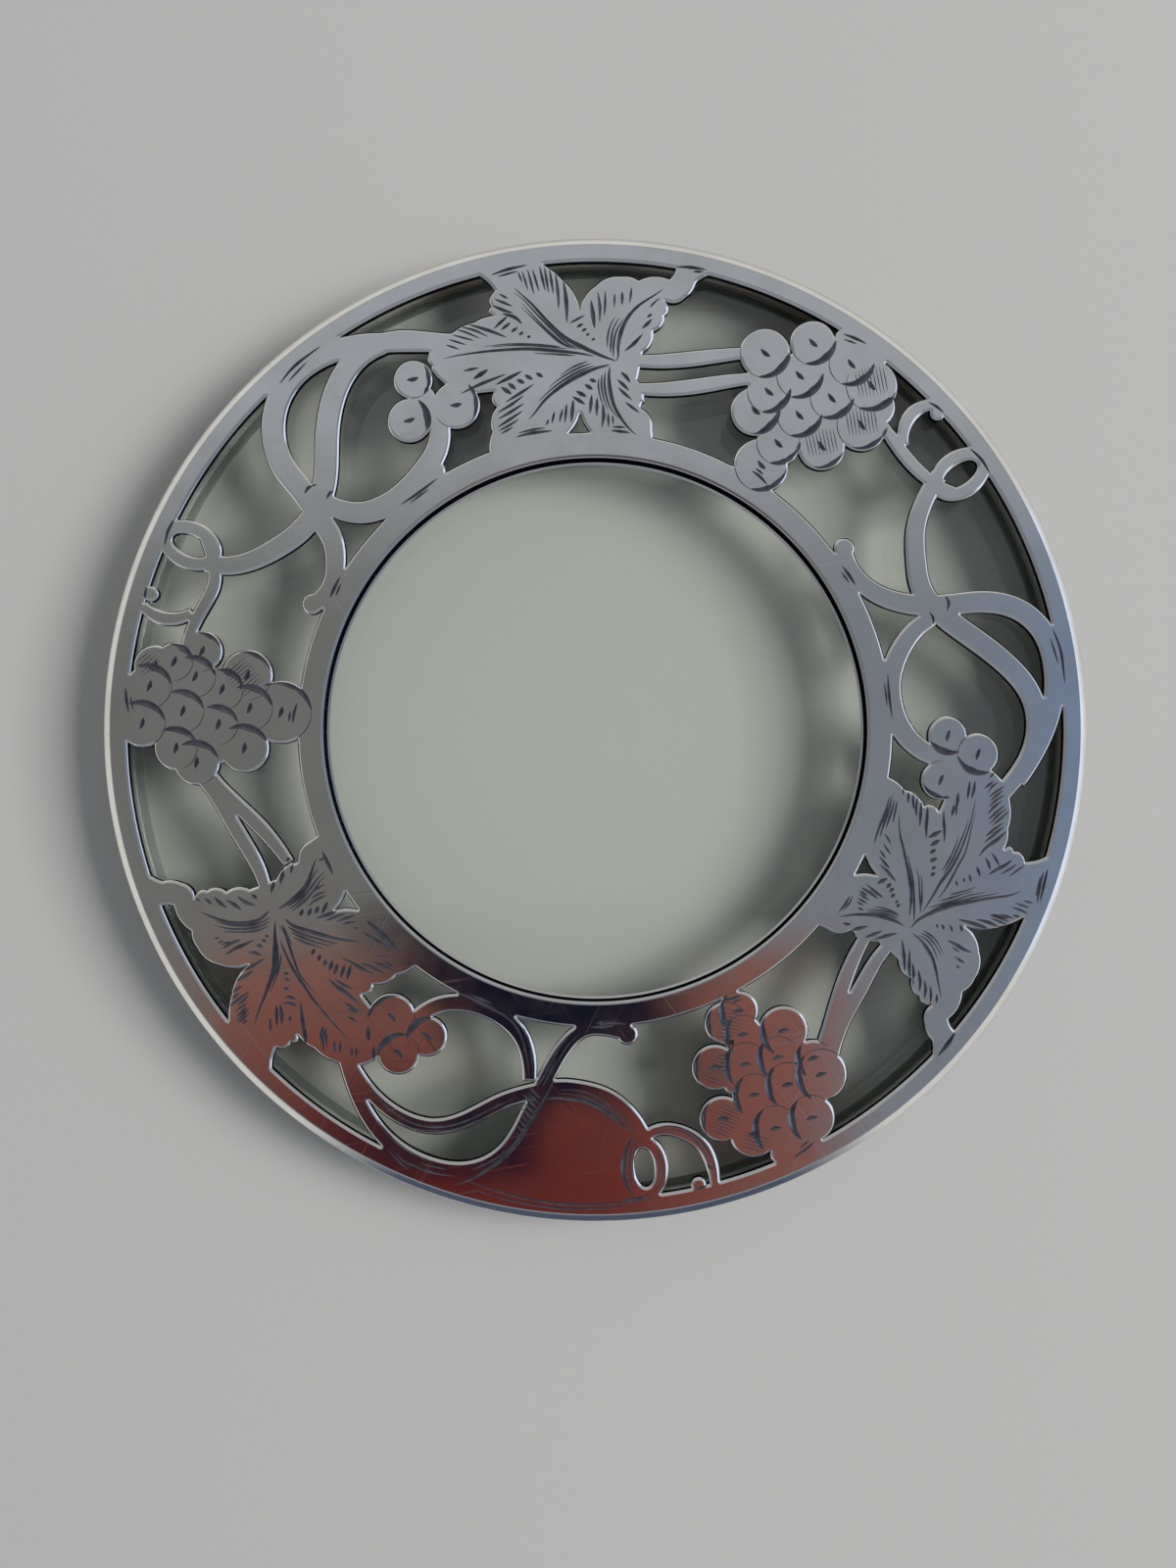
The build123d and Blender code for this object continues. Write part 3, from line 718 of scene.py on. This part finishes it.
third_hatching = [
    (-9.9, 65.8, -9.9, 64.5, -9.8, 63.3, 0.25), (-10.3, 65.2, -10.3, 64.2, 0.22),
    (-9.6, 65.6, -9.5, 64.2, -9.2, 62.9, 0.34), (-9.2, 65.2, -9.1, 64, -8.9, 63.1, 0.31),
    (-8.5, 64.8, -8.6, 63.7, -8.6, 62.7, 0.31), (-8.1, 64.2, -8.1, 63, -7.9, 61.8, 0.31),
    (-7.5, 65.5, -7.6, 63.9, -7.6, 62.4, -7.6, 61.4, 0.39), (-6.9, 64.4, -7, 63.4, -7, 62.7, 0.31),
    (-6.4, 63.8, -6.4, 62.8, -6.5, 61.8, 0.34), (-5.5, 62.6, -5.6, 60.9, -5.7, 59.2, 0.5),
    (-4.7, 61.6, -5, 59.9, -5.1, 58.4, -5.2, 56.9, 0.42),
    (-13.5, 62.9, -12.7, 62.2, -12, 61.5, 0.28), (-13.5, 61.7, -12.4, 60.7, -11.2, 59.6, 0.42),
    (-13.8, 61.1, -12.8, 60.1, -11.5, 59.2, 0.5), (-14.2, 60, -13.6, 59.2, 0.42),
    (-11.7, 59, -12.3, 58.2, -13.4, 57.6, 0.45), (-11.2, 58, -11.8, 57.5, -12.5, 57.1, 0.45),
    (-10.1, 57.4, -10.9, 56.9, 0.48), (-9.2, 56.5, -9.9, 56, 0.42), (-8.5, 56.1, -9.1, 55.5, 0.39),
    (-17.8, 60.7, -16.4, 59.4, -14.8, 58.1, -13.1, 56.8, 0.48),
    (-18.9, 58.8, -18.3, 57.8, -17.9, 56.8, 0.34), (-19.1, 58.1, -18.3, 57.1, 0.28),
    (-9, 51.4, -8.4, 50.4, 0.5), (-10.4, 51.2, -9.7, 50.3, 0.5), (-11.6, 51, -10.9, 50.1, 0.5),
    (-12.7, 50.9, -11.7, 49.5, 0.53), (-13.7, 50.8, -12.7, 49.3, 0.5),
    (-14.8, 50.5, -13.6, 48.6, 0.48), (-15.8, 50.1, -14.3, 48, 0.48),
    (-13.4, 51.7, -15.1, 51.7, -17.2, 51.4, -19, 51.3, -20, 51.2, 0.56),
    (-17.7, 52.5, -19.1, 52.4, -21, 52, 0.36), (-14.1, 51.2, -16, 50.8, -17.6, 50.3, 0.42),
    (-12.4, 48.4, -14.2, 47.8, -16.5, 47.3, -18.5, 46.7, 0.48),
    (-15.2, 47, -17.4, 46.2, -19.9, 45.7, 0.42), (-16.6, 45.6, -18.7, 45, -20.8, 44.5, 0.42),
    (-18.3, 44.6, -20.1, 44.1, 0.36), (-9.9, 44.4, -10.4, 43.8, 0.22),
    (-8, 45.3, -8.7, 44.2, -9.4, 43.4, 0.31), (-7, 45.8, -7.5, 44.5, -8.2, 43, 0.36),
    (-5.8, 46.9, -6.3, 45.4, -6.9, 43.9, 0.39), (-4.5, 47.9, -5.2, 46, -5.9, 44, 0.5),
    (-2.8, 49.5, -2, 48.6, 0.5), (-3.5, 48.6, -2.6, 47.5, 0.5), (-3.9, 47.6, -3, 46.5, 0.53),
    (-4.5, 46.8, -3.2, 45.1, 0.5), (-2, 47.8, -1.9, 46.3, -2.1, 44.7, 0.36),
    (-1.3, 47, -1.2, 45.7, -1.5, 44.6, 0.34), (-0.4, 46.8, -0.2, 45.5, -0.2, 44.1, 0.36),
    (0.5, 42.5, 2.6, 42.4, 5.7, 42.4, 0.48), (4.1, 43.5, 4.2, 42.3, 0.28),
    (2.7, 51.5, 3.8, 50.7, 5.1, 49.7, 0.56), (3.3, 49.8, 4.5, 49, 6, 48, 0.56),
    (4.2, 47.8, 5.9, 46.7, 0.28), (6.4, 47.7, 7, 46.6, 0.48),
    (-1.8, 61.5, -1.8, 59.7, -2, 58.2, -2.1, 56.8, 0.5), (-0.9, 61.4, -0.9, 59.9, -1.1, 58.4, 0.45),
    (-0.4, 61.3, -0.6, 59.9, 0.22), (0, 61.5, -0.1, 60.5, 0.22), (0.8, 61.7, 0.5, 60.8, 0.22),
    (-3.1, 58.5, -3.8, 57.7, -4.6, 57.1, 0.48), (-2.9, 56.9, -3.7, 56.3, 0.5),
    (-2.7, 55.9, -3.3, 55.5, 0.45), (-2.4, 55.2, -2.9, 54.8, 0.34), (6.8, 61.7, 6, 61, 0.28),
    (6.2, 60.3, 4.9, 59.7, 0.34), (5.8, 59, 4.7, 58.6, 3.6, 58, 0.5),
    (4.8, 57.7, 3.7, 56.9, 2.4, 56.3, 0.48), (4.6, 56, 3.2, 55.3, 2.1, 54.2, 0.5),
    (3.9, 54, 2.9, 53.6, 0.48), (-26.8, 56.5, -26.2, 55.8, -25.4, 54.6, 0.48),
    (-24.5, 54.6, -23.8, 53.9, -22.9, 52.8, 0.56), (-24.4, 57.5, -23.5, 56.3, 0.28),
    (-23.8, 57.8, -22.9, 56.6, 0.28), (-22.3, 58.5, -21.1, 57, 0.34),
    (-21.7, 58.9, -20.4, 57.5, 0.34), (-20.4, 59.7, -19.1, 58.5, -17.9, 57.4, 0.34),
    (-20.3, 58.9, -19.1, 57.8, -18.3, 56.9, 0.31), (-18.2, 60.8, -17.2, 59.9, -16.3, 58.9, 0.36),
    (-19.7, 53.7, -21.3, 53.5, 0.36), (-18.8, 52.9, -20.7, 52.4, 0.5),
]
for middle, veins, hatching in (
    (2.5, first_veins, first_hatching),
    (122.5, second_veins, second_hatching),
    (240.5, third_veins, third_hatching),
):
    engrave(veins, middle, least=0.12, share=0.9, peak=0.3)
    engrave(hatching, middle, least=0.13, share=0.95)

# Grapes of the three repeats: angle in degrees, rise and radius in percent of the vine's width
bunches = [
    [
        (24.3, 67.5, 15), (29.4, 85.5, 13.5), (35, 87, 13.5), (38.8, 84, 15.5), (30, 65, 14),
        (35.5, 64, 13), (27.2, 48, 13), (26.7, 34.5, 14.5), (33, 45, 13.5), (38.6, 38, 14),
        (41.2, 62.5, 15), (32.6, 24.5, 13), (32.1, 8.5, 16), (98.3, 30, 11.5), (91, 32, 11.5),
        (93.7, 50, 12.5),
    ],
    [
        (26.8, 67, 15.5), (28, 33.5, 14.5), (30.9, 86, 14), (35.7, 82, 14), (36.5, 59, 13),
        (31.6, 62, 13.5), (30.9, 45.5, 13), (35.9, 40.5, 13.5), (34.2, 24, 12), (41.9, 65.5, 13.5),
        (40.5, 35.5, 13.5), (26.5, 56.5, 11), (36, 13.5, 12.5), (33.1, 10.5, 12), (38.6, 80, 14),
        (95.3, 32, 14), (88.8, 30.5, 12), (91.3, 47.5, 12.5),
    ],
    [
        (30.8, 91, 14), (35.6, 88, 13.5), (27.5, 71.5, 13), (32.6, 67.5, 13), (39.2, 75.5, 11.5),
        (37.6, 62, 12.5), (36.2, 45.5, 13), (30.8, 46.5, 12), (25.3, 60, 13.5), (27, 31.5, 14.5),
        (33.6, 28.5, 14), (41.3, 60.5, 12), (38.9, 32, 15), (33.2, 10, 18.5), (38.2, 86.5, 12.5),
        (92.5, 57, 11.5), (89, 37, 13), (96.8, 32.5, 14),
    ],
]
# Grapes with shade lines, and those behind others: number of the repeat, and angle
shaded = {
    (0, 38.8), (0, 41.2), (0, 38.6), (1, 41.9), (1, 40.5), (1, 36), (1, 38.6),
    (2, 38.2), (2, 38.9),
}
behind = {(1, 38.6), (2, 38.2)}
crescent_width = 1.1
crescent_turns = range(36, -90, -10)
outline_width = 0.16
outline_turns = range(-70, -180, -12)
outline_share = 0.98
lozenge = ((165, 0.9), (-100, 0.12), (-15, 0.9))
lozenge_width = 0.72
shade_lines = 4
shade_pitch = 0.5
shade_width = 0.17
shade_way = 140
shade_reach = 0.78
shade_tail = 0.6
repeat_angle = 120


def on(middle, turn, reach):
    """A point of a grape, turned from the way that the vine runs towards the border."""
    outward = middle / np.hypot(*middle)
    onward = np.array((outward[1], -outward[0]))
    t = math.radians(turn)
    return middle + reach * (math.cos(t) * onward + math.sin(t) * outward)


for number, grapes in enumerate(bunches):
    for angle, rise, size in grapes:
        grape = number, angle
        radius = vine_width * size / 100
        middle = at(repeat_angle * number + angle, vine_inside + vine_width * rise / 100)
        if grape not in behind:
            crescent = [on(middle, turn, radius) for turn in crescent_turns]
            cut(crescent, crescent_width, peak=0.45, lean=-1)
            outline = [on(middle, turn, radius * outline_share) for turn in outline_turns]
            cut(outline, outline_width)
        cut([on(middle, turn, reach) for turn, reach in lozenge], lozenge_width, peak=0.55)
        if grape in shaded:
            for line in range(0 if grape in behind else -shade_lines, shade_lines + 1):
                side = line * shade_pitch
                reach = shade_reach * math.sqrt(max(radius ** 2 - side ** 2, 0))
                start = on(middle, shade_way - 90, side)
                cut([
                    start + on(middle, shade_way, reach) - middle,
                    start - on(middle, shade_way, shade_tail * reach) + middle,
                ], shade_width)

# Strokes where the vine meets the borders, crosses itself or curls, in the same form, with degrees
# from the start of a repeat
joints = [
    (32, 66.2, 33.6, 66.6, 35.2, 66.9, 0.4), (32.4, 65.6, 34.2, 66.1, 0.26),
    (31, 42.9, 33, 42.8, 35.2, 42.4, 0.4), (31.4, 43.5, 33.5, 43.3, 0.3),
    (45.4, 66.2, 46.5, 66.6, 47.8, 66.8, 0.36), (53, 66.4, 55, 66.8, 57, 66.7, 0.4),
    (56.3, 42, 58.5, 42.1, 61, 42.2, 0.45), (57.2, 41.4, 60, 41.6, 0.28),
    (69, 53.1, 70.2, 53.2, 71.4, 52.6, 0.46), (70.6, 50.2, 71.6, 50.4, 72.8, 50.2, 0.42),
    (79, 42.2, 83, 41.9, 88, 42.1, 0.42), (80.5, 41.5, 85.5, 41.5, 0.28),
    (77.5, 66.4, 80.5, 66.9, 84.5, 66.9, 0.4), (78.5, 65.8, 82, 66.3, 0.28),
]
for number in range(len(bunches)):
    engrave(joints, repeat_angle * number, share=1.2)

# Strokes round the bare shield: the tendril over it, the wrapped tendril on its left, the curl on
# its right and the border below, with angles from the top of the plate
shield_strokes = [
    (187.7, 52.9, 186.2, 52.5, 184.2, 52.5, 182.1, 52.6, 180.4, 53.1, 178.4, 54.2, 176.8, 55.5,
     175.4, 56.7, 174.3, 57.3, 0.7),
    (186, 51.9, 183.7, 51.8, 181.1, 52.2, 178.6, 53.4, 176.7, 54.8, 174.9, 56.3, 0.3),
    (186.3, 51.4, 183.2, 51.2, 180.6, 51.7, 177.9, 53.3, 175.6, 55.4, 174, 56.8, 0.26),
    (186.6, 49.6, 187.3, 51.6, 188.3, 53.8, 189.2, 55.8, 190, 57.8, 191, 60.1, 192.5, 62.6,
     194.2, 64.7, 195.5, 66.2, 197.2, 67.6, 0.75),
    (191.4, 60.3, 192.8, 62.1, 194.4, 63.7, 195.8, 65, 0.3), (190.6, 51.5, 188.3, 53, 0.42),
    (190.6, 52.3, 188.4, 53.7, 0.42), (190.6, 53.1, 188.7, 54.4, 0.42),
    (190.8, 53.9, 188.9, 55.2, 0.42), (190.9, 54.7, 189.2, 56, 0.42), (191, 55.5, 189.5, 56.8, 0.4),
    (191, 56.3, 189.7, 57.5, 0.38), (191.1, 57.2, 190, 58.2, 0.36),
    (191.2, 58.1, 190.3, 58.9, 0.34), (188.4, 51.2, 187.5, 49, 186.7, 46.8, 0.34),
    (189.4, 51.4, 188.4, 49.6, 187.5, 47.2, 0.38),
    (174.6, 57.7, 175.6, 59.2, 176.2, 61, 176.4, 62.8, 176.1, 64.7, 175.1, 66.7, 0.7),
    (174.3, 58.1, 175.1, 59.7, 175.6, 61.7, 175.6, 63.6, 175.2, 65.3, 0.3),
    (173.9, 58.5, 174.7, 60.1, 175.1, 62, 175.1, 63.9, 174.8, 65.3, 0.26),
    (171.3, 59, 170.7, 61, 170.6, 62.9, 171.2, 64.9, 172.3, 66.3, 0.34),
    (171.8, 59.6, 171.4, 61.6, 171.4, 63.2, 171.9, 65, 172.9, 66.2, 0.28),
    (172.2, 57.2, 169.9, 57.1, 167.9, 57.8, 166.1, 59.4, 165.1, 61.5, 164.8, 64, 165, 66.4, 0.34),
    (172.1, 57.8, 169.5, 57.7, 167.6, 58.5, 166.1, 60.3, 165.5, 62.4, 165.5, 64.5, 0.28),
    (165.9, 63.2, 165, 64.7, 0.5),
    (196.5, 66.4, 192.2, 66.9, 188.6, 67.2, 184.8, 67.4, 181.3, 67.4, 177.3, 67.2, 173.8, 67,
     171.8, 66.9, 0.42),
    (195.2, 67.4, 191.1, 67.8, 186.7, 68, 182.4, 68, 178.1, 67.8, 174.2, 67.6, 0.34),
]
engrave(shield_strokes)

# Lines along the tendrils of the second repeat, and the bold cuts at the third leaf's inner tip
tendril_strokes = [
    (204.5, 42.3, 201, 42.3, 197.8, 42.5, 195.1, 43.5, 193, 45.5, 191.5, 48.1, 190.8, 50.3, 0.34),
    (197.3, 42.1, 194.5, 42.9, 192, 45.2, 190.8, 47.8, 190.1, 49.8, 0.26),
    (191.8, 53.1, 194.8, 55.3, 197.8, 58, 200, 59.7, 202.4, 60.9, 205, 61.5, 208, 61.3,
     210.8, 60.5, 213.3, 59.2, 0.36),
    (192, 53.7, 194.6, 55.9, 197.6, 58.6, 199.8, 60.3, 202.2, 61.4, 204.8, 62.1, 207.6, 62.1, 0.24),
    (210.2, 62.8, 207.8, 64.1, 205.2, 65.1, 202.4, 65.5, 199.6, 65.3, 0.34),
    (183.5, 42.4, 185.7, 44.3, 187.1, 46.6, 188, 49.2, 0.34),
    (182.9, 43.1, 184.9, 44.9, 186.3, 47.1, 187.3, 49.4, 0.24),
    (179.5, 41.8, 176.8, 41.6, 173.8, 42, 0.5), (206.5, 66.3, 204.2, 67.4, 202.9, 67.7, 0.3),
    (206.1, 66, 203.9, 67, 202.3, 67.2, 0.24), (230.2, 42.2, 227.7, 42, 224.4, 41.9, 221, 42.2, 1),
    (229.3, 43.7, 227.3, 43.4, 225.1, 42.9, 222.9, 42.8, 0.6),
    (224.3, 44.7, 222.5, 43.7, 220.6, 43.1, 0.3),
]
engrave(tendril_strokes)


def engraved_plate():
    """The plate's mesh: its top with softened sawn edges and V cuts, its walls and underside."""
    round_points, weld, least_drop, least_depth = 720, 1e-5, 0.003, 0.006
    on_top, in_cut, on_wall = range(3)
    spots = []
    edges = []

    def lay(line, closed):
        """Adds a line to what the sheet is divided along."""
        first = len(spots)
        spots.extend(map(tuple, line))
        edges.extend((first + i, first + i + 1) for i in range(len(line) - 1))
        if closed:
            edges.append((first + len(line) - 1, first))

    turns = np.linspace(0, 2 * math.pi, round_points, endpoint=False)
    for radius in (rim_radius, hole_radius):
        lay(radius * np.column_stack((np.cos(turns), np.sin(turns))), True)
    for loop in sawn:
        lay(loop, True)
        for share in edge_rows:
            lay(moved_in(loop, edge_width * share), True)
    for line, half in cuts:
        side = leftwards(line) * half[:, None]
        lay(np.vstack((line + side, (line - side)[-2:0:-1])), True)
        lay(line, False)
    flat, _, faces, *_ = delaunay_2d_cdt([Vector(s) for s in spots], edges, [], 0, weld)
    flat = np.array(flat)
    faces = np.array(faces)

    middles = flat[faces].mean(1)
    reach = np.hypot(*middles.T)
    solid = (reach < rim_radius) & (reach > hole_radius)
    height = np.full(len(flat), plate_top)
    for loop in sawn:
        near = around(middles, loop, 0)
        solid[near[inside(middles[near], loop)]] = False
        near = around(flat, loop, edge_width)
        gap, _ = away(flat[near], loop, True)
        drop = edge_drop * np.clip(1 - gap / edge_width, 0, 1) ** edge_curve
        worn = plate_top - np.where(drop < least_drop, 0, drop)
        height[near] = np.minimum(height[near], worn)
    deepest = np.zeros(len(flat))
    for line, half in cuts:
        near = around(flat, line, half.max())
        gap, along = away(flat[near], line, False)
        depth = (np.interp(along, np.arange(len(line)), half) - gap) * cut_slope
        deepest[near] = np.maximum(deepest[near], np.where(depth < least_depth, 0, depth))
    height -= deepest

    mesh = bpy.data.meshes.new("pierced_plate_engraved")
    form = bmesh.new()
    top = [form.verts.new((x * mm, y * mm, z * mm)) for (x, y), z in zip(flat, height)]
    for face in faces[solid]:
        made = form.faces.new([top[i] for i in face])
        made.smooth = True
        made.material_index = in_cut if deepest[face].max() > 0 else on_top
    bmesh.ops.delete(form, geom=[v for v in form.verts if not v.link_faces], context="VERTS")
    bmesh.ops.recalc_face_normals(form, faces=form.faces)
    if sum(f.normal.z for f in form.faces) < 0:
        bmesh.ops.reverse_faces(form, faces=form.faces)

    # The flats stay flat to the eye: shading breaks where they meet a slope, and at creases
    level = math.cos(math.radians(2.5))
    flats = {f for f in form.faces if f.normal.z > level}
    for edge in form.edges:
        edge.smooth = len(flats.intersection(edge.link_faces)) != 1
        if edge.smooth and len(edge.link_faces) == 2 and edge.calc_face_angle() > crease:
            edge.smooth = False

    rim = [e for e in form.edges if e.is_boundary]
    walls = bmesh.ops.extrude_edge_only(form, edges=rim)["geom"]
    for vert in (g for g in walls if isinstance(g, bmesh.types.BMVert)):
        vert.co.z = plate_floor * mm
    # The sawn walls and the underside take the filed silver, whose dark colour is partly tarnish
    # and partly painted shade for the shade on these walls.
    for face in (g for g in walls if isinstance(g, bmesh.types.BMFace)):
        face.smooth = True
        face.material_index = on_wall
    foot = [g for g in walls if isinstance(g, bmesh.types.BMEdge) and g.is_boundary]
    filled = bmesh.ops.triangle_fill(form, edges=foot, use_beauty=False)["geom"]
    for face in (g for g in filled if isinstance(g, bmesh.types.BMFace)):
        face.material_index = on_wall
    for edge in foot:
        edge.smooth = False
    bmesh.ops.recalc_face_normals(form, faces=form.faces)
    form.to_mesh(mesh)
    form.free()
    return mesh


# Sterling silver, engraved with a burin: facets that were cut bright, greyed by the tarnish that
# polishing leaves in the cuts.
burin_cut, tree = material("sterling_silver_engraved")
place = add(tree, "ShaderNodeTexCoord").outputs["Object"]
tarnish_mm = 1.5
tarnish = add(tree, "ShaderNodeTexNoise", {
    "Vector": place,
    "Scale": 1 / (tarnish_mm * mm),
    "Detail": 3.0,
})
tone = add(tree, "ShaderNodeMix", {
    0: tarnish.outputs[0],
    6: linear("#918f96"),
    7: linear("#3b3a40"),
}, data_type="RGBA")
facet = add(tree, "ShaderNodeBsdfPrincipled", {
    "Base Color": tone.outputs[2],
    "Metallic": 1.0,
    "Roughness": 0.2,
})
add(tree, "ShaderNodeOutputMaterial", {"Surface": facet.outputs[0]})

piece("pierced_plate_engraved", engraved_plate(), "pierced_plate", "polished_silver",
      polished, burin_cut, filed_painted_shade)

# Table, light and camera
# A plain pale table top in a grey room, with a low window at the right and a soft lamp above it.
# A warm brown panel with a dark gap hangs on the near side, where the silver mirrors it.

table_mesh = bpy.data.meshes.new("table_top")
reach = 3.0
table_gap = 0.05
table_mesh.from_pydata(
    [(-reach, -reach, 0), (reach, -reach, 0), (reach, reach, 0), (-reach, reach, 0)],
    [], [(0, 1, 2, 3)])
table = bpy.data.objects.new("table_top", table_mesh)
table.location.z = -table_gap * mm
bpy.context.scene.collection.objects.link(table)
plain, tree = material("plain_pale_paint")
paint = add(tree, "ShaderNodeBsdfPrincipled", {"Base Color": linear("#c4c2bc"), "Roughness": 0.8})
add(tree, "ShaderNodeOutputMaterial", {"Surface": paint.outputs[0]})
table_mesh.materials.append(plain)

key_place = Vector((2.0, 0.2, 1.55))
key = bpy.data.lights.new("soft_key", "AREA")
key.shape = "RECTANGLE"
key.size, key.size_y = 1.3, 1.1
key.energy = 65.0
key.color = linear("#fbfbff")[:3]
key_lamp = bpy.data.objects.new("soft_key", key)
key_lamp.location = key_place
key_lamp.rotation_euler = (-key_place).to_track_quat("-Z", "Y").to_euler()
key_lamp.visible_glossy = False
key_lamp.visible_camera = False
bpy.context.scene.collection.objects.link(key_lamp)

room = bpy.data.worlds.new("grey_room")
bpy.context.scene.world = room
room.use_nodes = True
tree = room.node_tree
tree.nodes.clear()
least_rise = 0.05
ray = add(tree, "ShaderNodeTexCoord").outputs["Generated"]
way = add(tree, "ShaderNodeSeparateXYZ", {0: ray}).outputs
lifted = add(tree, "ShaderNodeMath", {0: way["Z"], 1: least_rise}, operation="MAXIMUM").outputs[0]
across = add(tree, "ShaderNodeMath", {0: way["X"], 1: lifted}, operation="DIVIDE").outputs[0]
along = add(tree, "ShaderNodeMath", {0: way["Y"], 1: lifted}, operation="DIVIDE").outputs[0]
aslant = add(tree, "ShaderNodeMath", {0: along, 1: across}, operation="ADD").outputs[0]

# Soft steps over the way a ray goes: its slope along and across the table, and its rise
steps = {}
for name, value, low, high in (
    ("farther", along, 0.12, 0.34),
    ("righter", across, -0.12, 0.26),
    ("rightmost", across, 0.3, 0.44),
    ("beyond", way["Y"], 0.1, 0.75),
    ("nearer", way["Y"], -0.25, -0.7),
    ("behind", way["Y"], -0.76, -0.92),
    ("sunward", way["X"], 0.2, 0.7),
    ("low", way["Z"], 0.24, 0.16),
    ("overhead", way["Z"], 0.78, 0.9),
    ("panel_far", along, -0.115, -0.16),
    ("panel_near", along, -0.46, -0.4),
    ("panel_right", across, 0.25, 0.18),
    ("panel_left", across, -0.36, -0.29),
    ("gap_far", along, -0.09, -0.125),
    ("gap_near", along, -0.35, -0.32),
    ("gap_right", across, 0.12, 0.04),
    ("gap_left", across, -0.3, -0.12),
    ("upper_left", aslant, -0.312, -0.336),
    ("upper_far", along, -0.265, -0.245),
    ("lower_right", across, -0.052, -0.03),
    ("lower_near", along, -0.26, -0.28),
    ("warmth", along, -0.35, -0.14),
    ("warm_right", across, -0.02, 0.2),
    ("window_top", way["Z"], 0.51, 0.43),
    ("window_foot", way["Z"], 0.03, 0.09),
    ("window_near", way["Y"], -0.5, -0.36),
    ("window_far", way["Y"], 0.56, 0.42),
    ("window_side", way["X"], 0.3, 0.55),
):
    steps[name] = add(tree, "ShaderNodeMapRange", {
        "Value": value,
        "From Min": low,
        "From Max": high,
    }, interpolation_type="SMOOTHSTEP").outputs[0]
for name, first, *others in (
    ("panel", "_far", "_near", "_right", "_left"),
    ("gap", "_far", "_near", "_right", "_left"),
    ("upper", "_left", "_far"),
    ("lower", "_right", "_near"),
    ("window", "_top", "_foot", "_near", "_far", "_side"),
):
    steps[name] = steps[name + first]
    for edge in others:
        steps[name] = add(tree, "ShaderNodeMath", {0: steps[name], 1: steps[name + edge]},
                          operation="MULTIPLY").outputs[0]

# Grey ceiling, lighter towards the far side and bluer towards the window; grey walls, lightest on
# the far side, with a pale foot that is dark on the near side; and the brown panel with its dark
# gap, which ends where the panel shows again above and below it
shades = {}
for name, share, *pair in (
    ("ceiling", "righter", "#727473", "#7e858f"),
    ("ceiling", "rightmost", "ceiling", "#7689a6"),
    ("ceiling", "farther", "ceiling", "#a4a9b0"),
    ("walls", "sunward", "#7b7f87", "#75808f"),
    ("walls", "beyond", "walls", "#a6a8aa"),
    ("walls", "nearer", "walls", "#8b9098"),
    ("foot", "behind", "#d8d8d4", "#4b5569"),
    ("walls", "low", "walls", "foot"),
    ("grey", "overhead", "walls", "ceiling"),
    ("brown", "warmth", "#672822", "#80584e"),
    ("brown", "warm_right", "brown", "#83564d"),
    ("panelled", "panel", "grey", "brown"),
    ("room", "gap", "panelled", "#0f1424"),
    ("room", "upper", "room", "panelled"),
    ("room", "lower", "room", "panelled"),
):
    first, second = (shades[each] if each in shades else linear(each) for each in pair)
    shades[name] = add(tree, "ShaderNodeMix", {0: steps[share], 6: first, 7: second},
                       data_type="RGBA").outputs[2]
glow = add(tree, "ShaderNodeBackground", {"Color": shades["room"], "Strength": 1.0})
daylight = add(tree, "ShaderNodeBackground", {"Color": linear("#dbe7ff"), "Strength": 1.15})
both = add(tree, "ShaderNodeMixShader", {
    0: steps["window"],
    1: glow.outputs[0],
    2: daylight.outputs[0],
})
add(tree, "ShaderNodeOutputWorld", {"Surface": both.outputs[0]})

# The camera looks straight down from above the seat; the lens is given by half the height of the
# picture over its distance, both in pixels
view_x, view_y, view_height = -1.04, -7.70, 167.0
half_height = 800 / 1202
eye = bpy.data.cameras.new("overhead")
eye.sensor_fit = "VERTICAL"
eye.sensor_height = 24.0
eye.lens = eye.sensor_height / 2 / half_height
eye.clip_start = 0.01
camera = bpy.data.objects.new("overhead", eye)
camera.location = (view_x * mm, view_y * mm, (plate_top + view_height) * mm)
bpy.context.scene.collection.objects.link(camera)
bpy.context.scene.camera = camera
bpy.context.scene.view_settings.view_transform = "Standard"
